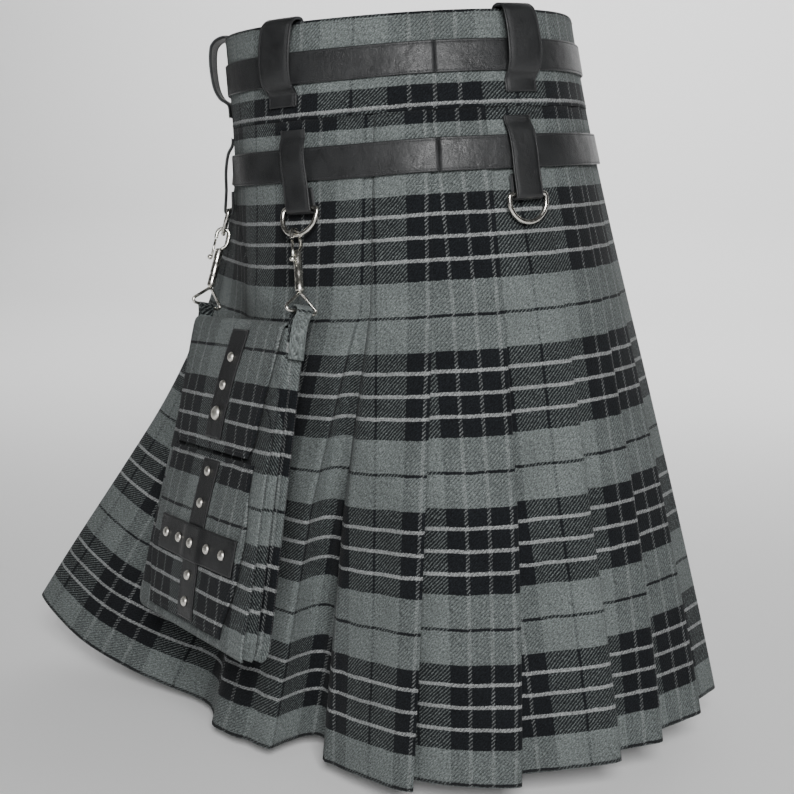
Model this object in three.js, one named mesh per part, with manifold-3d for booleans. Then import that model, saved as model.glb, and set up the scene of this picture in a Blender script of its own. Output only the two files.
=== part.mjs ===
// A pleated utility kilt of checked wool cloth, standing open as if worn.
// Millimetres, +Z up, -Y the wearer's front, +X the wearer's left side.
// The origin is the centre of the waist opening, on the top edge.
// Azimuths are degrees round from centre front towards the wearer's left.

import * as THREE from 'three';
import { mergeVertices } from 'three/addons/utils/BufferGeometryUtils.js';
import Module from 'manifold-3d';

const wasm = await Module();
wasm.setup();

// Driving sizes of the cloth
const CLOTH_LENGTH = 616;
const BAND_DEPTH = 78;
const FELL_END = 233;
const WALL = 1.6;
const BAND_WALL = 2;
const SEAM = 0.3;
const UNDER_GAP = 5.8;

// The waist opening is two half ovals, squarer than ellipses, on a plane that tips forward
const WAIST = { halfWidth: 131.6, front: 150.5, back: 153.7, frontPower: 2.34, backPower: 2.19, tilt: 0.056 };

// Distances down the cloth at which the slopes below are given
const STATIONS = { waist: 0, band: 130, fell: 268, thigh: 392, knee: 500, hem: CLOTH_LENGTH };

// Slope of the cloth from plumb in degrees, by azimuth
const SLOPES = [
  { azimuth: 0, waist: -14.8, band: -6, fell: 5.5, thigh: 14, knee: 18, hem: 20 },
  { azimuth: 22, waist: -7, band: -4.5, fell: 0, thigh: 4.5, knee: 8.5, hem: 13 },
  { azimuth: 45, waist: -0.6, band: 0, fell: 1.6, thigh: 5, knee: 9, hem: 13 },
  { azimuth: 68, waist: 4, band: 3.3, fell: 3.5, thigh: 4.5, knee: 5.5, hem: 6.5 },
  { azimuth: 90, waist: 8.3, band: 7.3, fell: 6.9, thigh: 6.8, knee: 6.3, hem: 5.7 },
  { azimuth: 112, waist: 12.9, band: 12.7, fell: 12, thigh: 11, knee: 9.3, hem: 7.1 },
  { azimuth: 135, waist: 13.3, band: 13, fell: 12.6, thigh: 11.5, knee: 9.8, hem: 8.1 },
  { azimuth: 158, waist: 12.1, band: 13.3, fell: 13.7, thigh: 13, knee: 11.8, hem: 10.5 },
  { azimuth: 180, waist: 9.8, band: 14, fell: 15.5, thigh: 14.9, knee: 14.5, hem: 13.4 },
];

// The fold at centre front stands further out: extra slope there, fading over halfAngle each way
const FRONT_FOLD = {
  halfAngle: 40, roundness: 1, power: 2.2,
  waist: 12.9, band: 14.9, fell: 18.6, thigh: 20.7, knee: 17.5, hem: 13.7,
};

// Distances down the cloth at which the pleats are placed
const PLEAT_STATIONS = { band: BAND_DEPTH, fell: FELL_END, thigh: 400, hem: CLOTH_LENGTH };

// Where the apron ends each side, and the hollow of the inverted pleat behind its left crease
const APRON_EDGE = { band: 93.6, fell: 93.6, thigh: 79, hem: 67 };
const INVERTED_PLEAT = { band: 97, fell: 97, thigh: 88, hem: 81.3, depth: 35 };

// The knife pleats round the back: azimuth of each standing edge, and how far it stands at the hem
const PLEATS = [
  { band: 114, fell: 113, thigh: 110.2, hem: 107.4, depth: 24 },
  { band: 130, fell: 129.8, thigh: 128.8, hem: 126.4, depth: 24 },
  { band: 146, fell: 146, thigh: 145.2, hem: 146, depth: 22 },
  { band: 161, fell: 160.5, thigh: 158.6, hem: 156.2, depth: 20 },
  { band: 173, fell: 172.5, thigh: 171, hem: 169, depth: 19 },
  { band: 184, fell: 183.5, thigh: 181.5, hem: 179.5, depth: 19 },
  { band: 197, fell: 196.5, thigh: 194, hem: 192, depth: 23 },
  { band: 211, fell: 210.5, thigh: 208, hem: 205.5, depth: 25 },
  { band: 226, fell: 225.5, thigh: 222.5, hem: 220, depth: 22 },
  { band: 241, fell: 240.5, thigh: 239, hem: 238, depth: 26 },
  { band: 254, fell: 253.5, thigh: 253, hem: 254.5, depth: 22 },
];
const PLEAT_SPLIT = 6;
const FELL_STEP = 2.4;
const UNDERCUT = 14;
const FOLD_TIP = 2.2;

// Distances down the cloth of the rings of points in the walls
const CLOTH_RINGS = [
  BAND_DEPTH + SEAM, 101, 128, 155, 192, FELL_END, 272, 312, 352, 392, 435, 480, 525, 568, CLOTH_LENGTH,
];
const BAND_RINGS = [0, 26, 52, BAND_DEPTH];
const SEAM_AZIMUTH = 116;

// Leather: two straps sewn round, belt loops over the top one, ring loops over the lower one
const LEATHER = 1.8;
const UPPER_STRAP = { top: 24, bottom: 50, out: 0.5 };
const LOWER_STRAP = { top: 101, bottom: 128, out: 0.8 };
const TAB_END = -104;
const LOOP_WIDTH = 28;
const LOOP_LEATHER = 2.4;
const RING_LOOP_LEATHER = 1.8;
const LOOPS = [
  { name: 'front_left', upper: 14, lower: 15.5, lean: 0, ring: 'hooked' },
  { name: 'side_left', upper: 64, lower: 71, lean: 13, ring: 'hooked' },
  { name: 'back_left', upper: 141.5, lower: 138.5, lean: -2, ring: 'free' },
  { name: 'front_right', upper: -14, lower: -15.5, lean: 0, ring: 'free' },
  { name: 'side_right', upper: -64, lower: -67, lean: -1, ring: 'free' },
  { name: 'back_right', upper: -141.5, lower: -139, lean: 1, ring: 'free' },
];

// Nickel rings and swivel hooks
const RING = { wire: 2, halfWidth: 15.5, drop: 22, down: 150, out: 6.4, freeTilt: -6, hookedTilt: 14 };
const HOOK = {
  wire: 1.7, jawHalf: 5.6, jawTop: -4.8, tip: 5.5, shank: 15, barrelRadius: 3.6, bore: 1.6, boreDepth: 7,
};
const GATE = { wire: 1.1, top: 6.8, knobRadius: 2.4, knobDown: 24 };
const EYE = { wire: 1.4, sides: 8, spread: 17, height: 15, bend: 2.6, bendSteps: 4, pin: 1.2, pinIntoEye: 0.2 };

// The hanging pocket: a walled bag with a bellows each side, its flap and its front patch
const POCKET = { x: 124.8, y: -90.8, z: -252, azimuth: 47.5, lean: 12.8, roll: -4 };
const BAG = {
  topWidth: 166, bottomWidth: 206, height: 264, topDepth: 18, bottomDepth: 27,
  wall: 1.6, fold: 9, flat: 28, bulge: 2,
};
const FLAP = { drop: 108, topWidth: 164, bottomWidth: 146, corner: 14 };
const PATCH = { top: 112, bottom: 253, topWidth: 152, middleWidth: 168, bottomWidth: 140, puff: 4 };
const SHEET = 1.6;
const POCKET_LOOP = { width: 13, thickness: 1.6, tail: 24, rise: 14 };
const STUD = { seat: 0.7, radius: 4.2, height: 2.6, largeRadius: 6, largeHeight: 3.6 };

const COLOURS = {
  cloth: { color: 0x4a4a4a, roughness: 0.95, metalness: 0 },
  leather: { color: 0x161616, roughness: 0.5, metalness: 0 },
  nickel: { color: 0xc8c6c0, roughness: 0.25, metalness: 1 },
};

const kilt = new THREE.Group();
const rad = THREE.MathUtils.degToRad;
const vec = (x, y, z) => new THREE.Vector3(x, y, z);

// Azimuths are read from -180 to 180, and both sides share one table
function foldAzimuth(azimuth) {
  const turned = ((azimuth % 360) + 540) % 360 - 180;
  return Math.abs(turned);
}

// A smooth curve through rows of { at, value }, level at both ends
function smoothRows(rows, at) {
  const last = rows.length - 1;
  let i = 0;
  while (i < last - 1 && at > rows[i + 1].at) i += 1;
  const rise = (k) => (rows[k + 1].value - rows[k].value) / (rows[k + 1].at - rows[k].at);
  const tangent = (k) => (k === 0 || k === last ? 0 : (rise(k - 1) + rise(k)) / 2);
  const width = rows[i + 1].at - rows[i].at;
  const t = THREE.MathUtils.clamp((at - rows[i].at) / width, 0, 1);
  const t2 = t * t;
  const t3 = t2 * t;
  const fromStart = rows[i].value * (2 * t3 - 3 * t2 + 1) + tangent(i) * width * (t3 - 2 * t2 + t);
  const fromEnd = rows[i + 1].value * (3 * t2 - 2 * t3) + tangent(i + 1) * width * (t3 - t2);
  return fromStart + fromEnd;
}

// A value at a distance down the cloth, from a row with one column for each station
function alongCloth(row, stations, down) {
  const names = Object.keys(stations);
  let i = 0;
  while (i < names.length - 2 && down > stations[names[i + 1]]) i += 1;
  const from = stations[names[i]];
  const to = stations[names[i + 1]];
  const t = THREE.MathUtils.clamp((down - from) / (to - from), 0, 1);
  return THREE.MathUtils.lerp(row[names[i]], row[names[i + 1]], t);
}

function waistRadius(azimuth) {
  const across = Math.abs(Math.sin(rad(azimuth)));
  const along = Math.cos(rad(azimuth));
  const reach = along > 0 ? WAIST.front : WAIST.back;
  const power = along > 0 ? WAIST.frontPower : WAIST.backPower;
  const sum = (across / WAIST.halfWidth) ** power + (Math.abs(along) / reach) ** power;
  return sum ** (-1 / power);
}

// One line of cloth from waist to hem in an upright plane, as radius and height every STEP mm
const STEP = 10;
const lines = new Map();
function clothLine(azimuth) {
  const folded = foldAzimuth(azimuth);
  const key = folded.toFixed(4);
  if (lines.has(key)) return lines.get(key);
  const slopes = {};
  const nearFront = Math.hypot(folded, FRONT_FOLD.roundness) - FRONT_FOLD.roundness;
  const fade = Math.max(0, 1 - nearFront / FRONT_FOLD.halfAngle) ** FRONT_FOLD.power;
  for (const name of Object.keys(STATIONS)) {
    const rows = SLOPES.map((row) => ({ at: row.azimuth, value: row[name] }));
    slopes[name] = smoothRows(rows, folded) + FRONT_FOLD[name] * fade;
  }
  let radius = waistRadius(folded);
  let height = -WAIST.tilt * radius * Math.cos(rad(folded));
  const points = [{ radius, height }];
  for (let down = STEP / 2; down < CLOTH_LENGTH + 4 * STEP; down += STEP) {
    const slope = rad(alongCloth(slopes, STATIONS, down));
    radius += STEP * Math.sin(slope);
    height -= STEP * Math.cos(slope);
    points.push({ radius, height });
  }
  lines.set(key, points);
  return points;
}

// A point of the smooth form, moved in towards the middle by inset
function formPoint(azimuth, down, inset = 0) {
  const line = clothLine(azimuth);
  const at = down / STEP;
  const i = THREE.MathUtils.clamp(Math.floor(at), 0, line.length - 2);
  const radius = THREE.MathUtils.lerp(line[i].radius, line[i + 1].radius, at - i) - inset;
  const height = THREE.MathUtils.lerp(line[i].height, line[i + 1].height, at - i);
  return vec(radius * Math.sin(rad(azimuth)), -radius * Math.cos(rad(azimuth)), height);
}

// The directions of the form at a point: sideways to rising azimuth, down, and out
function formFrame(azimuth, down) {
  const side = formPoint(azimuth + 0.5, down).sub(formPoint(azimuth - 0.5, down)).normalize();
  const fall = formPoint(azimuth, down + 6).sub(formPoint(azimuth, down - 0)).normalize();
  const out = vec(0, 0, 0).crossVectors(fall, side).normalize();
  return { side, fall, out };
}

function onForm(azimuth, down, out) {
  return formPoint(azimuth, down).addScaledVector(formFrame(azimuth, down).out, out);
}

// A plan line moved in by a wall's thickness, its corners cut short where they are sharp
function innerRing(points, thickness) {
  const last = points.length - 1;
  const normals = [];
  for (let i = 0; i < last; i += 1) {
    const run = vec(points[i + 1].x - points[i].x, points[i + 1].y - points[i].y, 0).normalize();
    normals.push(vec(-run.y, run.x, 0));
  }
  return points.map((point, i) => {
    const before = normals[Math.max(0, i - 1)];
    const after = normals[Math.min(last - 1, i)];
    const mean = vec(0, 0, 0).addVectors(before, after).normalize();
    const reach = Math.min(2.2, 1 / Math.max(0.2, mean.dot(after)));
    return point.clone().addScaledVector(mean, thickness * reach);
  });
}

// A closed wall between two grids of points with the same rows and columns
function wallGeometry(outer, inner) {
  const rows = outer.length;
  const columns = outer[0].length;
  const positions = [];
  for (const grid of [outer, inner]) {
    for (const row of grid) {
      for (const point of row) positions.push(point.x, point.y, point.z);
    }
  }
  const at = (layer, r, c) => layer * rows * columns + r * columns + c;
  const index = [];
  const quad = (a, b, c, d) => index.push(a, b, c, a, c, d);
  for (let r = 0; r < rows - 1; r += 1) {
    for (let c = 0; c < columns - 1; c += 1) {
      quad(at(0, r, c), at(0, r + 1, c), at(0, r + 1, c + 1), at(0, r, c + 1));
      quad(at(1, r, c), at(1, r, c + 1), at(1, r + 1, c + 1), at(1, r + 1, c));
    }
    quad(at(0, r, 0), at(1, r, 0), at(1, r + 1, 0), at(0, r + 1, 0));
    quad(at(0, r, columns - 1), at(0, r + 1, columns - 1), at(1, r + 1, columns - 1), at(1, r, columns - 1));
  }
  for (let c = 0; c < columns - 1; c += 1) {
    quad(at(0, 0, c), at(0, 0, c + 1), at(1, 0, c + 1), at(1, 0, c));
    quad(at(0, rows - 1, c), at(1, rows - 1, c), at(1, rows - 1, c + 1), at(0, rows - 1, c + 1));
  }
  return closedGeometry(positions, index);
}

// A geometry whose faces point out: it is turned inside out where its volume is negative
function closedGeometry(positions, index) {
  let volume = 0;
  const corner = (i) => vec(positions[3 * i], positions[3 * i + 1], positions[3 * i + 2]);
  for (let i = 0; i < index.length; i += 3) {
    const [a, b, c] = [corner(index[i]), corner(index[i + 1]), corner(index[i + 2])];
    volume += a.dot(b.cross(c));
  }
  const facing = volume > 0 ? index : index.slice().reverse();
  const geometry = new THREE.BufferGeometry();
  geometry.setAttribute('position', new THREE.Float32BufferAttribute(positions, 3));
  geometry.setIndex(facing);
  return geometry;
}

function addMesh(name, geometry, colour) {
  const mesh = new THREE.Mesh(geometry, new THREE.MeshStandardMaterial(colour));
  mesh.name = name;
  kilt.add(mesh);
}

// The columns of the apron at one ring: azimuth and inset, from its right edge to the inverted pleat
const APRON_SPREAD = [0, 0.045, 0.1, 0.17, 0.26, 0.37, 0.5, 0.65, 0.82, 1];
function apronColumns(down) {
  const edge = alongCloth(APRON_EDGE, PLEAT_STATIONS, down);
  const hollow = alongCloth(INVERTED_PLEAT, PLEAT_STATIONS, down);
  const depth = pleatDepth(INVERTED_PLEAT.depth, down);
  const right = APRON_SPREAD.slice(1).reverse().map((part) => ({ azimuth: -edge * part, inset: 0 }));
  const left = APRON_SPREAD.map((part) => ({ azimuth: edge * part, inset: 0 }));
  const turn = { azimuth: edge + 0.12 * (hollow - edge), inset: 0.22 * depth };
  const inside = { azimuth: edge + 0.6 * (hollow - edge), inset: 0.72 * depth };
  return [...right, ...left, turn, inside, { azimuth: hollow, inset: depth }];
}

// How far a pleat stands at a distance down: a sewn step in the fell, opening to the hem
function pleatDepth(hemDepth, down) {
  const open = THREE.MathUtils.clamp((down - FELL_END) / (CLOTH_LENGTH - FELL_END), 0, 1);
  return FELL_STEP + (hemDepth - FELL_STEP) * open ** 0.85;
}

function undercutAngle(down) {
  const open = THREE.MathUtils.clamp((down - FELL_END) / (CLOTH_LENGTH - FELL_END), 0, 1);
  const radius = formPoint(120, down).setZ(0).length();
  return THREE.MathUtils.radToDeg(UNDERCUT * open / radius);
}

// The columns of a run of pleats at one ring, from one hollow to the last edge's hollow
function pleatColumns(first, last, down) {
  const columns = [];
  const undercut = undercutAngle(down);
  const open = THREE.MathUtils.clamp((down - FELL_END) / (CLOTH_LENGTH - FELL_END), 0, 1);
  const radius = formPoint(120, down).setZ(0).length();
  const tip = THREE.MathUtils.radToDeg(FOLD_TIP / radius);
  for (let k = first; k < last; k += 1) {
    const before = k === 0 ? INVERTED_PLEAT : PLEATS[k - 1];
    const startDepth = pleatDepth(before.depth, down);
    const startAngle = alongCloth(before, PLEAT_STATIONS, down) - (k === 0 ? 0 : undercut);
    const edge = alongCloth(PLEATS[k], PLEAT_STATIONS, down);
    const across = (t) => THREE.MathUtils.lerp(startAngle, edge, t);
    const flatten = 3 * open;
    columns.push({ azimuth: startAngle, inset: startDepth });
    columns.push({ azimuth: across(0.22), inset: 0.74 * startDepth + 0.6 * flatten });
    columns.push({ azimuth: across(0.5), inset: 0.42 * startDepth + flatten });
    columns.push({ azimuth: across(0.78), inset: 0.15 * startDepth + 0.6 * flatten });
    columns.push({ azimuth: edge - tip, inset: 0 });
    columns.push({ azimuth: edge, inset: 0.35 + 0.5 * open });
  }
  const lastDepth = pleatDepth(PLEATS[last - 1].depth, down);
  const lastEdge = alongCloth(PLEATS[last - 1], PLEAT_STATIONS, down);
  columns.push({ azimuth: lastEdge - undercut, inset: lastDepth });
  return columns;
}

// The last panel of the back runs on under the apron's right edge
function underlapColumns(down) {
  const edge = 360 - alongCloth(APRON_EDGE, PLEAT_STATIONS, down);
  const start = alongCloth(PLEATS[PLEATS.length - 1], PLEAT_STATIONS, down) - undercutAngle(down);
  const depth = pleatDepth(PLEATS[PLEATS.length - 1].depth, down);
  const across = (t) => THREE.MathUtils.lerp(start, edge, t);
  return [
    { azimuth: across(0.45), inset: Math.max(0.6 * depth, 0.5) },
    { azimuth: across(0.8), inset: Math.max(0.35 * depth, 3) },
    { azimuth: edge, inset: Math.max(0.3 * depth, UNDER_GAP - 1) },
    { azimuth: edge + 7, inset: Math.max(0.3 * depth, UNDER_GAP) },
  ];
}

function wallFromColumns(rings, columnsAt, thickness) {
  const outer = rings.map((down) => columnsAt(down).map((c) => formPoint(c.azimuth, down, c.inset)));
  const inner = outer.map((ring) => innerRing(ring, thickness));
  return wallGeometry(outer, inner);
}

function nudged(columns, down, gap) {
  const radius = formPoint(120, down).setZ(0).length();
  const step = THREE.MathUtils.radToDeg(gap / radius);
  const [first, ...rest] = columns;
  return [{ azimuth: first.azimuth + step, inset: first.inset }, ...rest];
}

// The skirt panels
function addSkirt() {
  addMesh('front_apron', wallFromColumns(CLOTH_RINGS, apronColumns, WALL), COLOURS.cloth);
  const left = (down) => nudged(pleatColumns(0, PLEAT_SPLIT, down), down, 2 * SEAM);
  addMesh('pleats_left', wallFromColumns(CLOTH_RINGS, left, WALL), COLOURS.cloth);
  const right = (down) => {
    const run = pleatColumns(PLEAT_SPLIT, PLEATS.length, down);
    return nudged([...run, ...underlapColumns(down)], down, 2 * SEAM);
  };
  addMesh('pleats_right', wallFromColumns(CLOTH_RINGS, right, WALL), COLOURS.cloth);
}

// The under apron hangs inside the front, from the right side to past the left hip
const UNDER_LEFT = { band: 74, fell: 72, thigh: 62, hem: 54 };
const UNDER_SPREAD = [0, 0.1, 0.2, 0.3, 0.38, 0.45, 0.5, 0.56, 0.62, 0.7, 0.8, 0.9, 1];
const UNDER_RINGS = [0, 40, 90, 160, FELL_END, 312, 392, 480, 560, CLOTH_LENGTH - 8];
const UNDER = { fromEdge: 8.5, hemInset: 4, frontInset: 4, frontHemInset: 40 };
function underApronColumns(down) {
  const right = -alongCloth(APRON_EDGE, PLEAT_STATIONS, down) + UNDER.fromEdge;
  const left = alongCloth(UNDER_LEFT, PLEAT_STATIONS, down);
  const open = THREE.MathUtils.clamp((down - FELL_END) / (CLOTH_LENGTH - FELL_END), 0, 1);
  return UNDER_SPREAD.map((part) => {
    const azimuth = THREE.MathUtils.lerp(right, left, part);
    const front = Math.max(0, 1 - Math.abs(azimuth) / FRONT_FOLD.halfAngle);
    const behindFold = (UNDER.frontInset + UNDER.frontHemInset * open) * front;
    return { azimuth, inset: UNDER_GAP + UNDER.hemInset * open + behindFold };
  });
}

function addUnderApron() {
  addMesh('under_apron', wallFromColumns(UNDER_RINGS, underApronColumns, WALL), COLOURS.cloth);
}

// Even columns between two azimuths, all at one inset
function evenColumns(from, to, spacing, insetAt = () => 0) {
  const count = Math.max(2, Math.round(Math.abs(to - from) / spacing));
  const columns = [];
  for (let i = 0; i <= count; i += 1) {
    const azimuth = THREE.MathUtils.lerp(from, to, i / count);
    columns.push({ azimuth, inset: insetAt(azimuth) });
  }
  return columns;
}

// The waistband in two pieces: the front one ends over the back one at the right side
const BAND_SPACING = 8.06;
const BAND_UNDERLAP = { from: -9, to: -1, end: 7 };
const SEAM_TURN = 0.2;
function addWaistband() {
  const edge = APRON_EDGE.band;
  const front = () => evenColumns(-edge, SEAM_AZIMUTH, BAND_SPACING);
  addMesh('waistband_front', wallFromColumns(BAND_RINGS, front, BAND_WALL), COLOURS.cloth);
  const join = 360 - edge;
  const goesUnder = (azimuth) => (
    UNDER_GAP * THREE.MathUtils.smoothstep(azimuth, join + BAND_UNDERLAP.from, join + BAND_UNDERLAP.to));
  const back = () => evenColumns(SEAM_AZIMUTH + SEAM_TURN, join + BAND_UNDERLAP.end, BAND_SPACING, goesUnder);
  addMesh('waistband_back', wallFromColumns(BAND_RINGS, back, BAND_WALL), COLOURS.cloth);
}

// A flat leather strap that lies on the form between two azimuths
const STRAP_SPACING = 5;
function strapGeometry(from, to, strap) {
  const middle = (strap.top + strap.bottom) / 2;
  const columns = from < 0
    ? [...evenColumns(from, 0, STRAP_SPACING), ...evenColumns(0, to, STRAP_SPACING).slice(1)]
    : evenColumns(from, to, STRAP_SPACING);
  const grid = (out) => [strap.top, middle, strap.bottom].map(
    (down) => columns.map((c) => onForm(c.azimuth, down, out)));
  return wallGeometry(grid(strap.out + LEATHER), grid(strap.out));
}

function addStraps() {
  const backEnd = 360 + TAB_END - 0.8;
  for (const [name, strap] of [['upper', UPPER_STRAP], ['lower', LOWER_STRAP]]) {
    addMesh(`strap_${name}_front`, strapGeometry(TAB_END, SEAM_AZIMUTH, strap), COLOURS.leather);
    addMesh(`strap_${name}_back`, strapGeometry(SEAM_AZIMUTH + SEAM_TURN, backEnd, strap), COLOURS.leather);
    addMesh(`closure_stud_${name}`, closureStud(strap), COLOURS.nickel);
  }
}

// The straps close past the apron's free edge, each on one dome stud
function closureStud(strap) {
  const middle = (strap.top + strap.bottom) / 2;
  const azimuth = TAB_END + 4;
  const { side, fall, out } = formFrame(azimuth, middle);
  const axes = new THREE.Matrix4().makeBasis(side, out, fall);
  const at = onForm(azimuth, middle, strap.out + LEATHER + STUD.seat);
  return domeGeometry(STUD.largeRadius, STUD.largeHeight).applyMatrix4(axes).translate(at.x, at.y, at.z);
}

// A line of points moved to one side by a distance, in the plane of down and out
function besideLine(line, distance) {
  const last = line.length - 1;
  return line.map((point, i) => {
    const a = line[Math.max(0, i - 1)];
    const b = line[Math.min(last, i + 1)];
    const length = Math.hypot(b.down - a.down, b.out - a.out);
    const shift = distance / length;
    return { down: point.down - (b.out - a.out) * shift, out: point.out + (b.down - a.down) * shift };
  });
}

// A leather or cloth strip bent along a line of down and out, laid over the form
function bentStrip(line, thickness, width, place) {
  const across = [-0.5, -0.17, 0.17, 0.5].map((part) => part * width);
  const grid = (side) => besideLine(line, side * thickness / 2).map(
    (point) => across.map((sideways) => place(sideways, point.down, point.out)));
  return wallGeometry(grid(1), grid(-1));
}

// Places a strip on the form, square to a centre line that leans by some degrees
function onFormPlace(azimuth, middleDown, lean) {
  const radius = formPoint(azimuth, middleDown).setZ(0).length();
  return (sideways, down, out) => {
    const drift = (down - middleDown) * Math.tan(rad(lean));
    const turned = azimuth + THREE.MathUtils.radToDeg((sideways + drift) / radius);
    return onForm(turned, down, out);
  };
}

// Places a strip flat across, on the middle line of the form at an azimuth
function flatPlace(azimuth, middleDown, lean) {
  const { side } = formFrame(azimuth, middleDown);
  return (sideways, down, out) => {
    const drift = (down - middleDown) * Math.tan(rad(lean));
    return onForm(azimuth, down, out).addScaledVector(side, sideways + drift);
  };
}

// Belt loops: over the top edge, out round the belt's room, and sewn down below the upper strap
const BELT_LOOP_LINE = [
  { down: 20, out: -BAND_WALL - 2.1 }, { down: 1.5, out: -BAND_WALL - 2.1 }, { down: -1.4, out: -3.5 },
  { down: -2.4, out: -1.2 }, { down: -2, out: 4.4 }, { down: 1, out: 10.2 }, { down: 7, out: 14 },
  { down: 22, out: 15.6 }, { down: 40, out: 14.2 }, { down: 50, out: 10 }, { down: 54.5, out: 4.4 },
  { down: 58, out: 2.1 }, { down: 67, out: 1.8 },
];

// Ring loops: sewn above the lower strap, over it, round the ring's bar and back up behind
const ringLoopLine = () => {
  const bend = RING.wire + 0.6 + RING_LOOP_LEATHER / 2;
  const points = [
    { down: 86, out: 1.4 }, { down: 92, out: 2.2 }, { down: 100, out: 6.4 }, { down: 115, out: 8.8 },
    { down: 132, out: RING.out + bend - 1 }, { down: RING.down - 2, out: RING.out + bend },
  ];
  for (const turn of [25, 60, 90, 120, 155]) {
    points.push({ down: RING.down + bend * Math.sin(rad(turn)), out: RING.out + bend * Math.cos(rad(turn)) });
  }
  points.push({ down: RING.down - 2, out: RING.out - bend });
  points.push({ down: 133, out: RING.out - bend });
  return points;
};

// A closed or open wire along points, with round section
function wireGeometry(points, radius, sides, closed) {
  const positions = [];
  const count = points.length;
  const at = (i) => points[(i + count) % count];
  let normal = null;
  for (let i = 0; i < count; i += 1) {
    const before = closed || i > 0 ? at(i - 1) : points[i];
    const after = closed || i < count - 1 ? at(i + 1) : points[i];
    const run = after.clone().sub(before).normalize();
    if (!normal) {
      const helper = Math.abs(run.z) < 0.9 ? vec(0, 0, 1) : vec(1, 0, 0);
      normal = vec(0, 0, 0).crossVectors(run, helper).normalize();
    }
    normal.addScaledVector(run, -normal.dot(run)).normalize();
    const second = vec(0, 0, 0).crossVectors(run, normal);
    for (let k = 0; k < sides; k += 1) {
      const turn = (2 * Math.PI * k) / sides;
      const p = points[i].clone().addScaledVector(normal, radius * Math.cos(turn));
      p.addScaledVector(second, radius * Math.sin(turn));
      positions.push(p.x, p.y, p.z);
    }
  }
  const index = [];
  const spans = closed ? count : count - 1;
  for (let i = 0; i < spans; i += 1) {
    for (let k = 0; k < sides; k += 1) {
      const [a, b] = [i * sides + k, i * sides + ((k + 1) % sides)];
      const next = ((i + 1) % count) * sides;
      const [c, d] = [next + ((k + 1) % sides), next + k];
      index.push(a, b, c, a, c, d);
    }
  }
  if (!closed) {
    for (let k = 1; k < sides - 1; k += 1) {
      const end = (count - 1) * sides;
      index.push(0, k + 1, k, end, end + k, end + k + 1);
    }
  }
  return closedGeometry(positions, index);
}

// The frame of a ring on its bar: u sideways, fall down along the tilted ring, out away from the cloth
function ringFrame(loop) {
  const frame = formFrame(loop.lower, RING.down);
  const centre = flatPlace(loop.lower, 117, loop.lean)(0, RING.down, RING.out);
  const tilt = rad(loop.ring === 'free' ? RING.freeTilt : RING.hookedTilt);
  const fall = frame.fall.clone().multiplyScalar(Math.cos(tilt)).addScaledVector(frame.out, Math.sin(tilt));
  const out = frame.out.clone().multiplyScalar(Math.cos(tilt)).addScaledVector(frame.fall, -Math.sin(tilt));
  return { centre, side: formFrame(loop.lower, 117).side, fall: fall.normalize(), out: out.normalize() };
}

function ringGeometry(loop) {
  const { centre, side, fall } = ringFrame(loop);
  const point = (across, down) => centre.clone().addScaledVector(side, across).addScaledVector(fall, down);
  const points = [point(-RING.halfWidth, 0), point(-RING.halfWidth / 3, 0)];
  points.push(point(RING.halfWidth / 3, 0), point(RING.halfWidth, 0));
  const lower = 9;
  for (let i = 0; i <= lower; i += 1) {
    const turn = (Math.PI * i) / lower;
    const bulge = RING.halfWidth + 1.5;
    const down = 5 + (RING.drop - 5) * Math.sin(turn);
    points.push(point(bulge * Math.cos(turn), down));
  }
  return wireGeometry(points, RING.wire, 8, true);
}

function addLoops() {
  for (const loop of LOOPS) {
    const upperPlace = onFormPlace(loop.upper, 30, 0);
    const upper = bentStrip(BELT_LOOP_LINE, LOOP_LEATHER, LOOP_WIDTH, upperPlace);
    addMesh(`belt_loop_${loop.name}`, upper, COLOURS.leather);
    const lowerPlace = flatPlace(loop.lower, 117, loop.lean);
    const lower = bentStrip(ringLoopLine(), RING_LOOP_LEATHER, LOOP_WIDTH - 3, lowerPlace);
    addMesh(`ring_loop_${loop.name}`, lower, COLOURS.leather);
    addMesh(`ring_${loop.name}`, ringGeometry(loop), COLOURS.nickel);
  }
}

// The pocket's own directions: side across its face, fall down it, out away from the kilt
function pocketFrame() {
  const turn = rad(POCKET.azimuth);
  const lean = rad(POCKET.lean);
  const roll = rad(POCKET.roll);
  const out = vec(Math.sin(turn) * Math.cos(lean), -Math.cos(turn) * Math.cos(lean), Math.sin(lean));
  const level = vec(Math.cos(turn), Math.sin(turn), 0);
  const plumb = vec(0, 0, 0).crossVectors(level, out).normalize();
  const side = level.clone().multiplyScalar(Math.cos(roll)).addScaledVector(plumb, Math.sin(roll));
  const fall = plumb.clone().multiplyScalar(Math.cos(roll)).addScaledVector(level, -Math.sin(roll));
  return { centre: vec(POCKET.x, POCKET.y, POCKET.z), side, fall, out };
}

const pocketAxes = pocketFrame();
function onPocket(across, down, out) {
  const point = pocketAxes.centre.clone().addScaledVector(pocketAxes.side, across);
  return point.addScaledVector(pocketAxes.fall, down).addScaledVector(pocketAxes.out, out);
}

const bagHalf = (down) => THREE.MathUtils.lerp(BAG.topWidth, BAG.bottomWidth, down / BAG.height) / 2;
const bagDepth = (down) => THREE.MathUtils.lerp(BAG.topDepth, BAG.bottomDepth, down / BAG.height);

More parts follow.
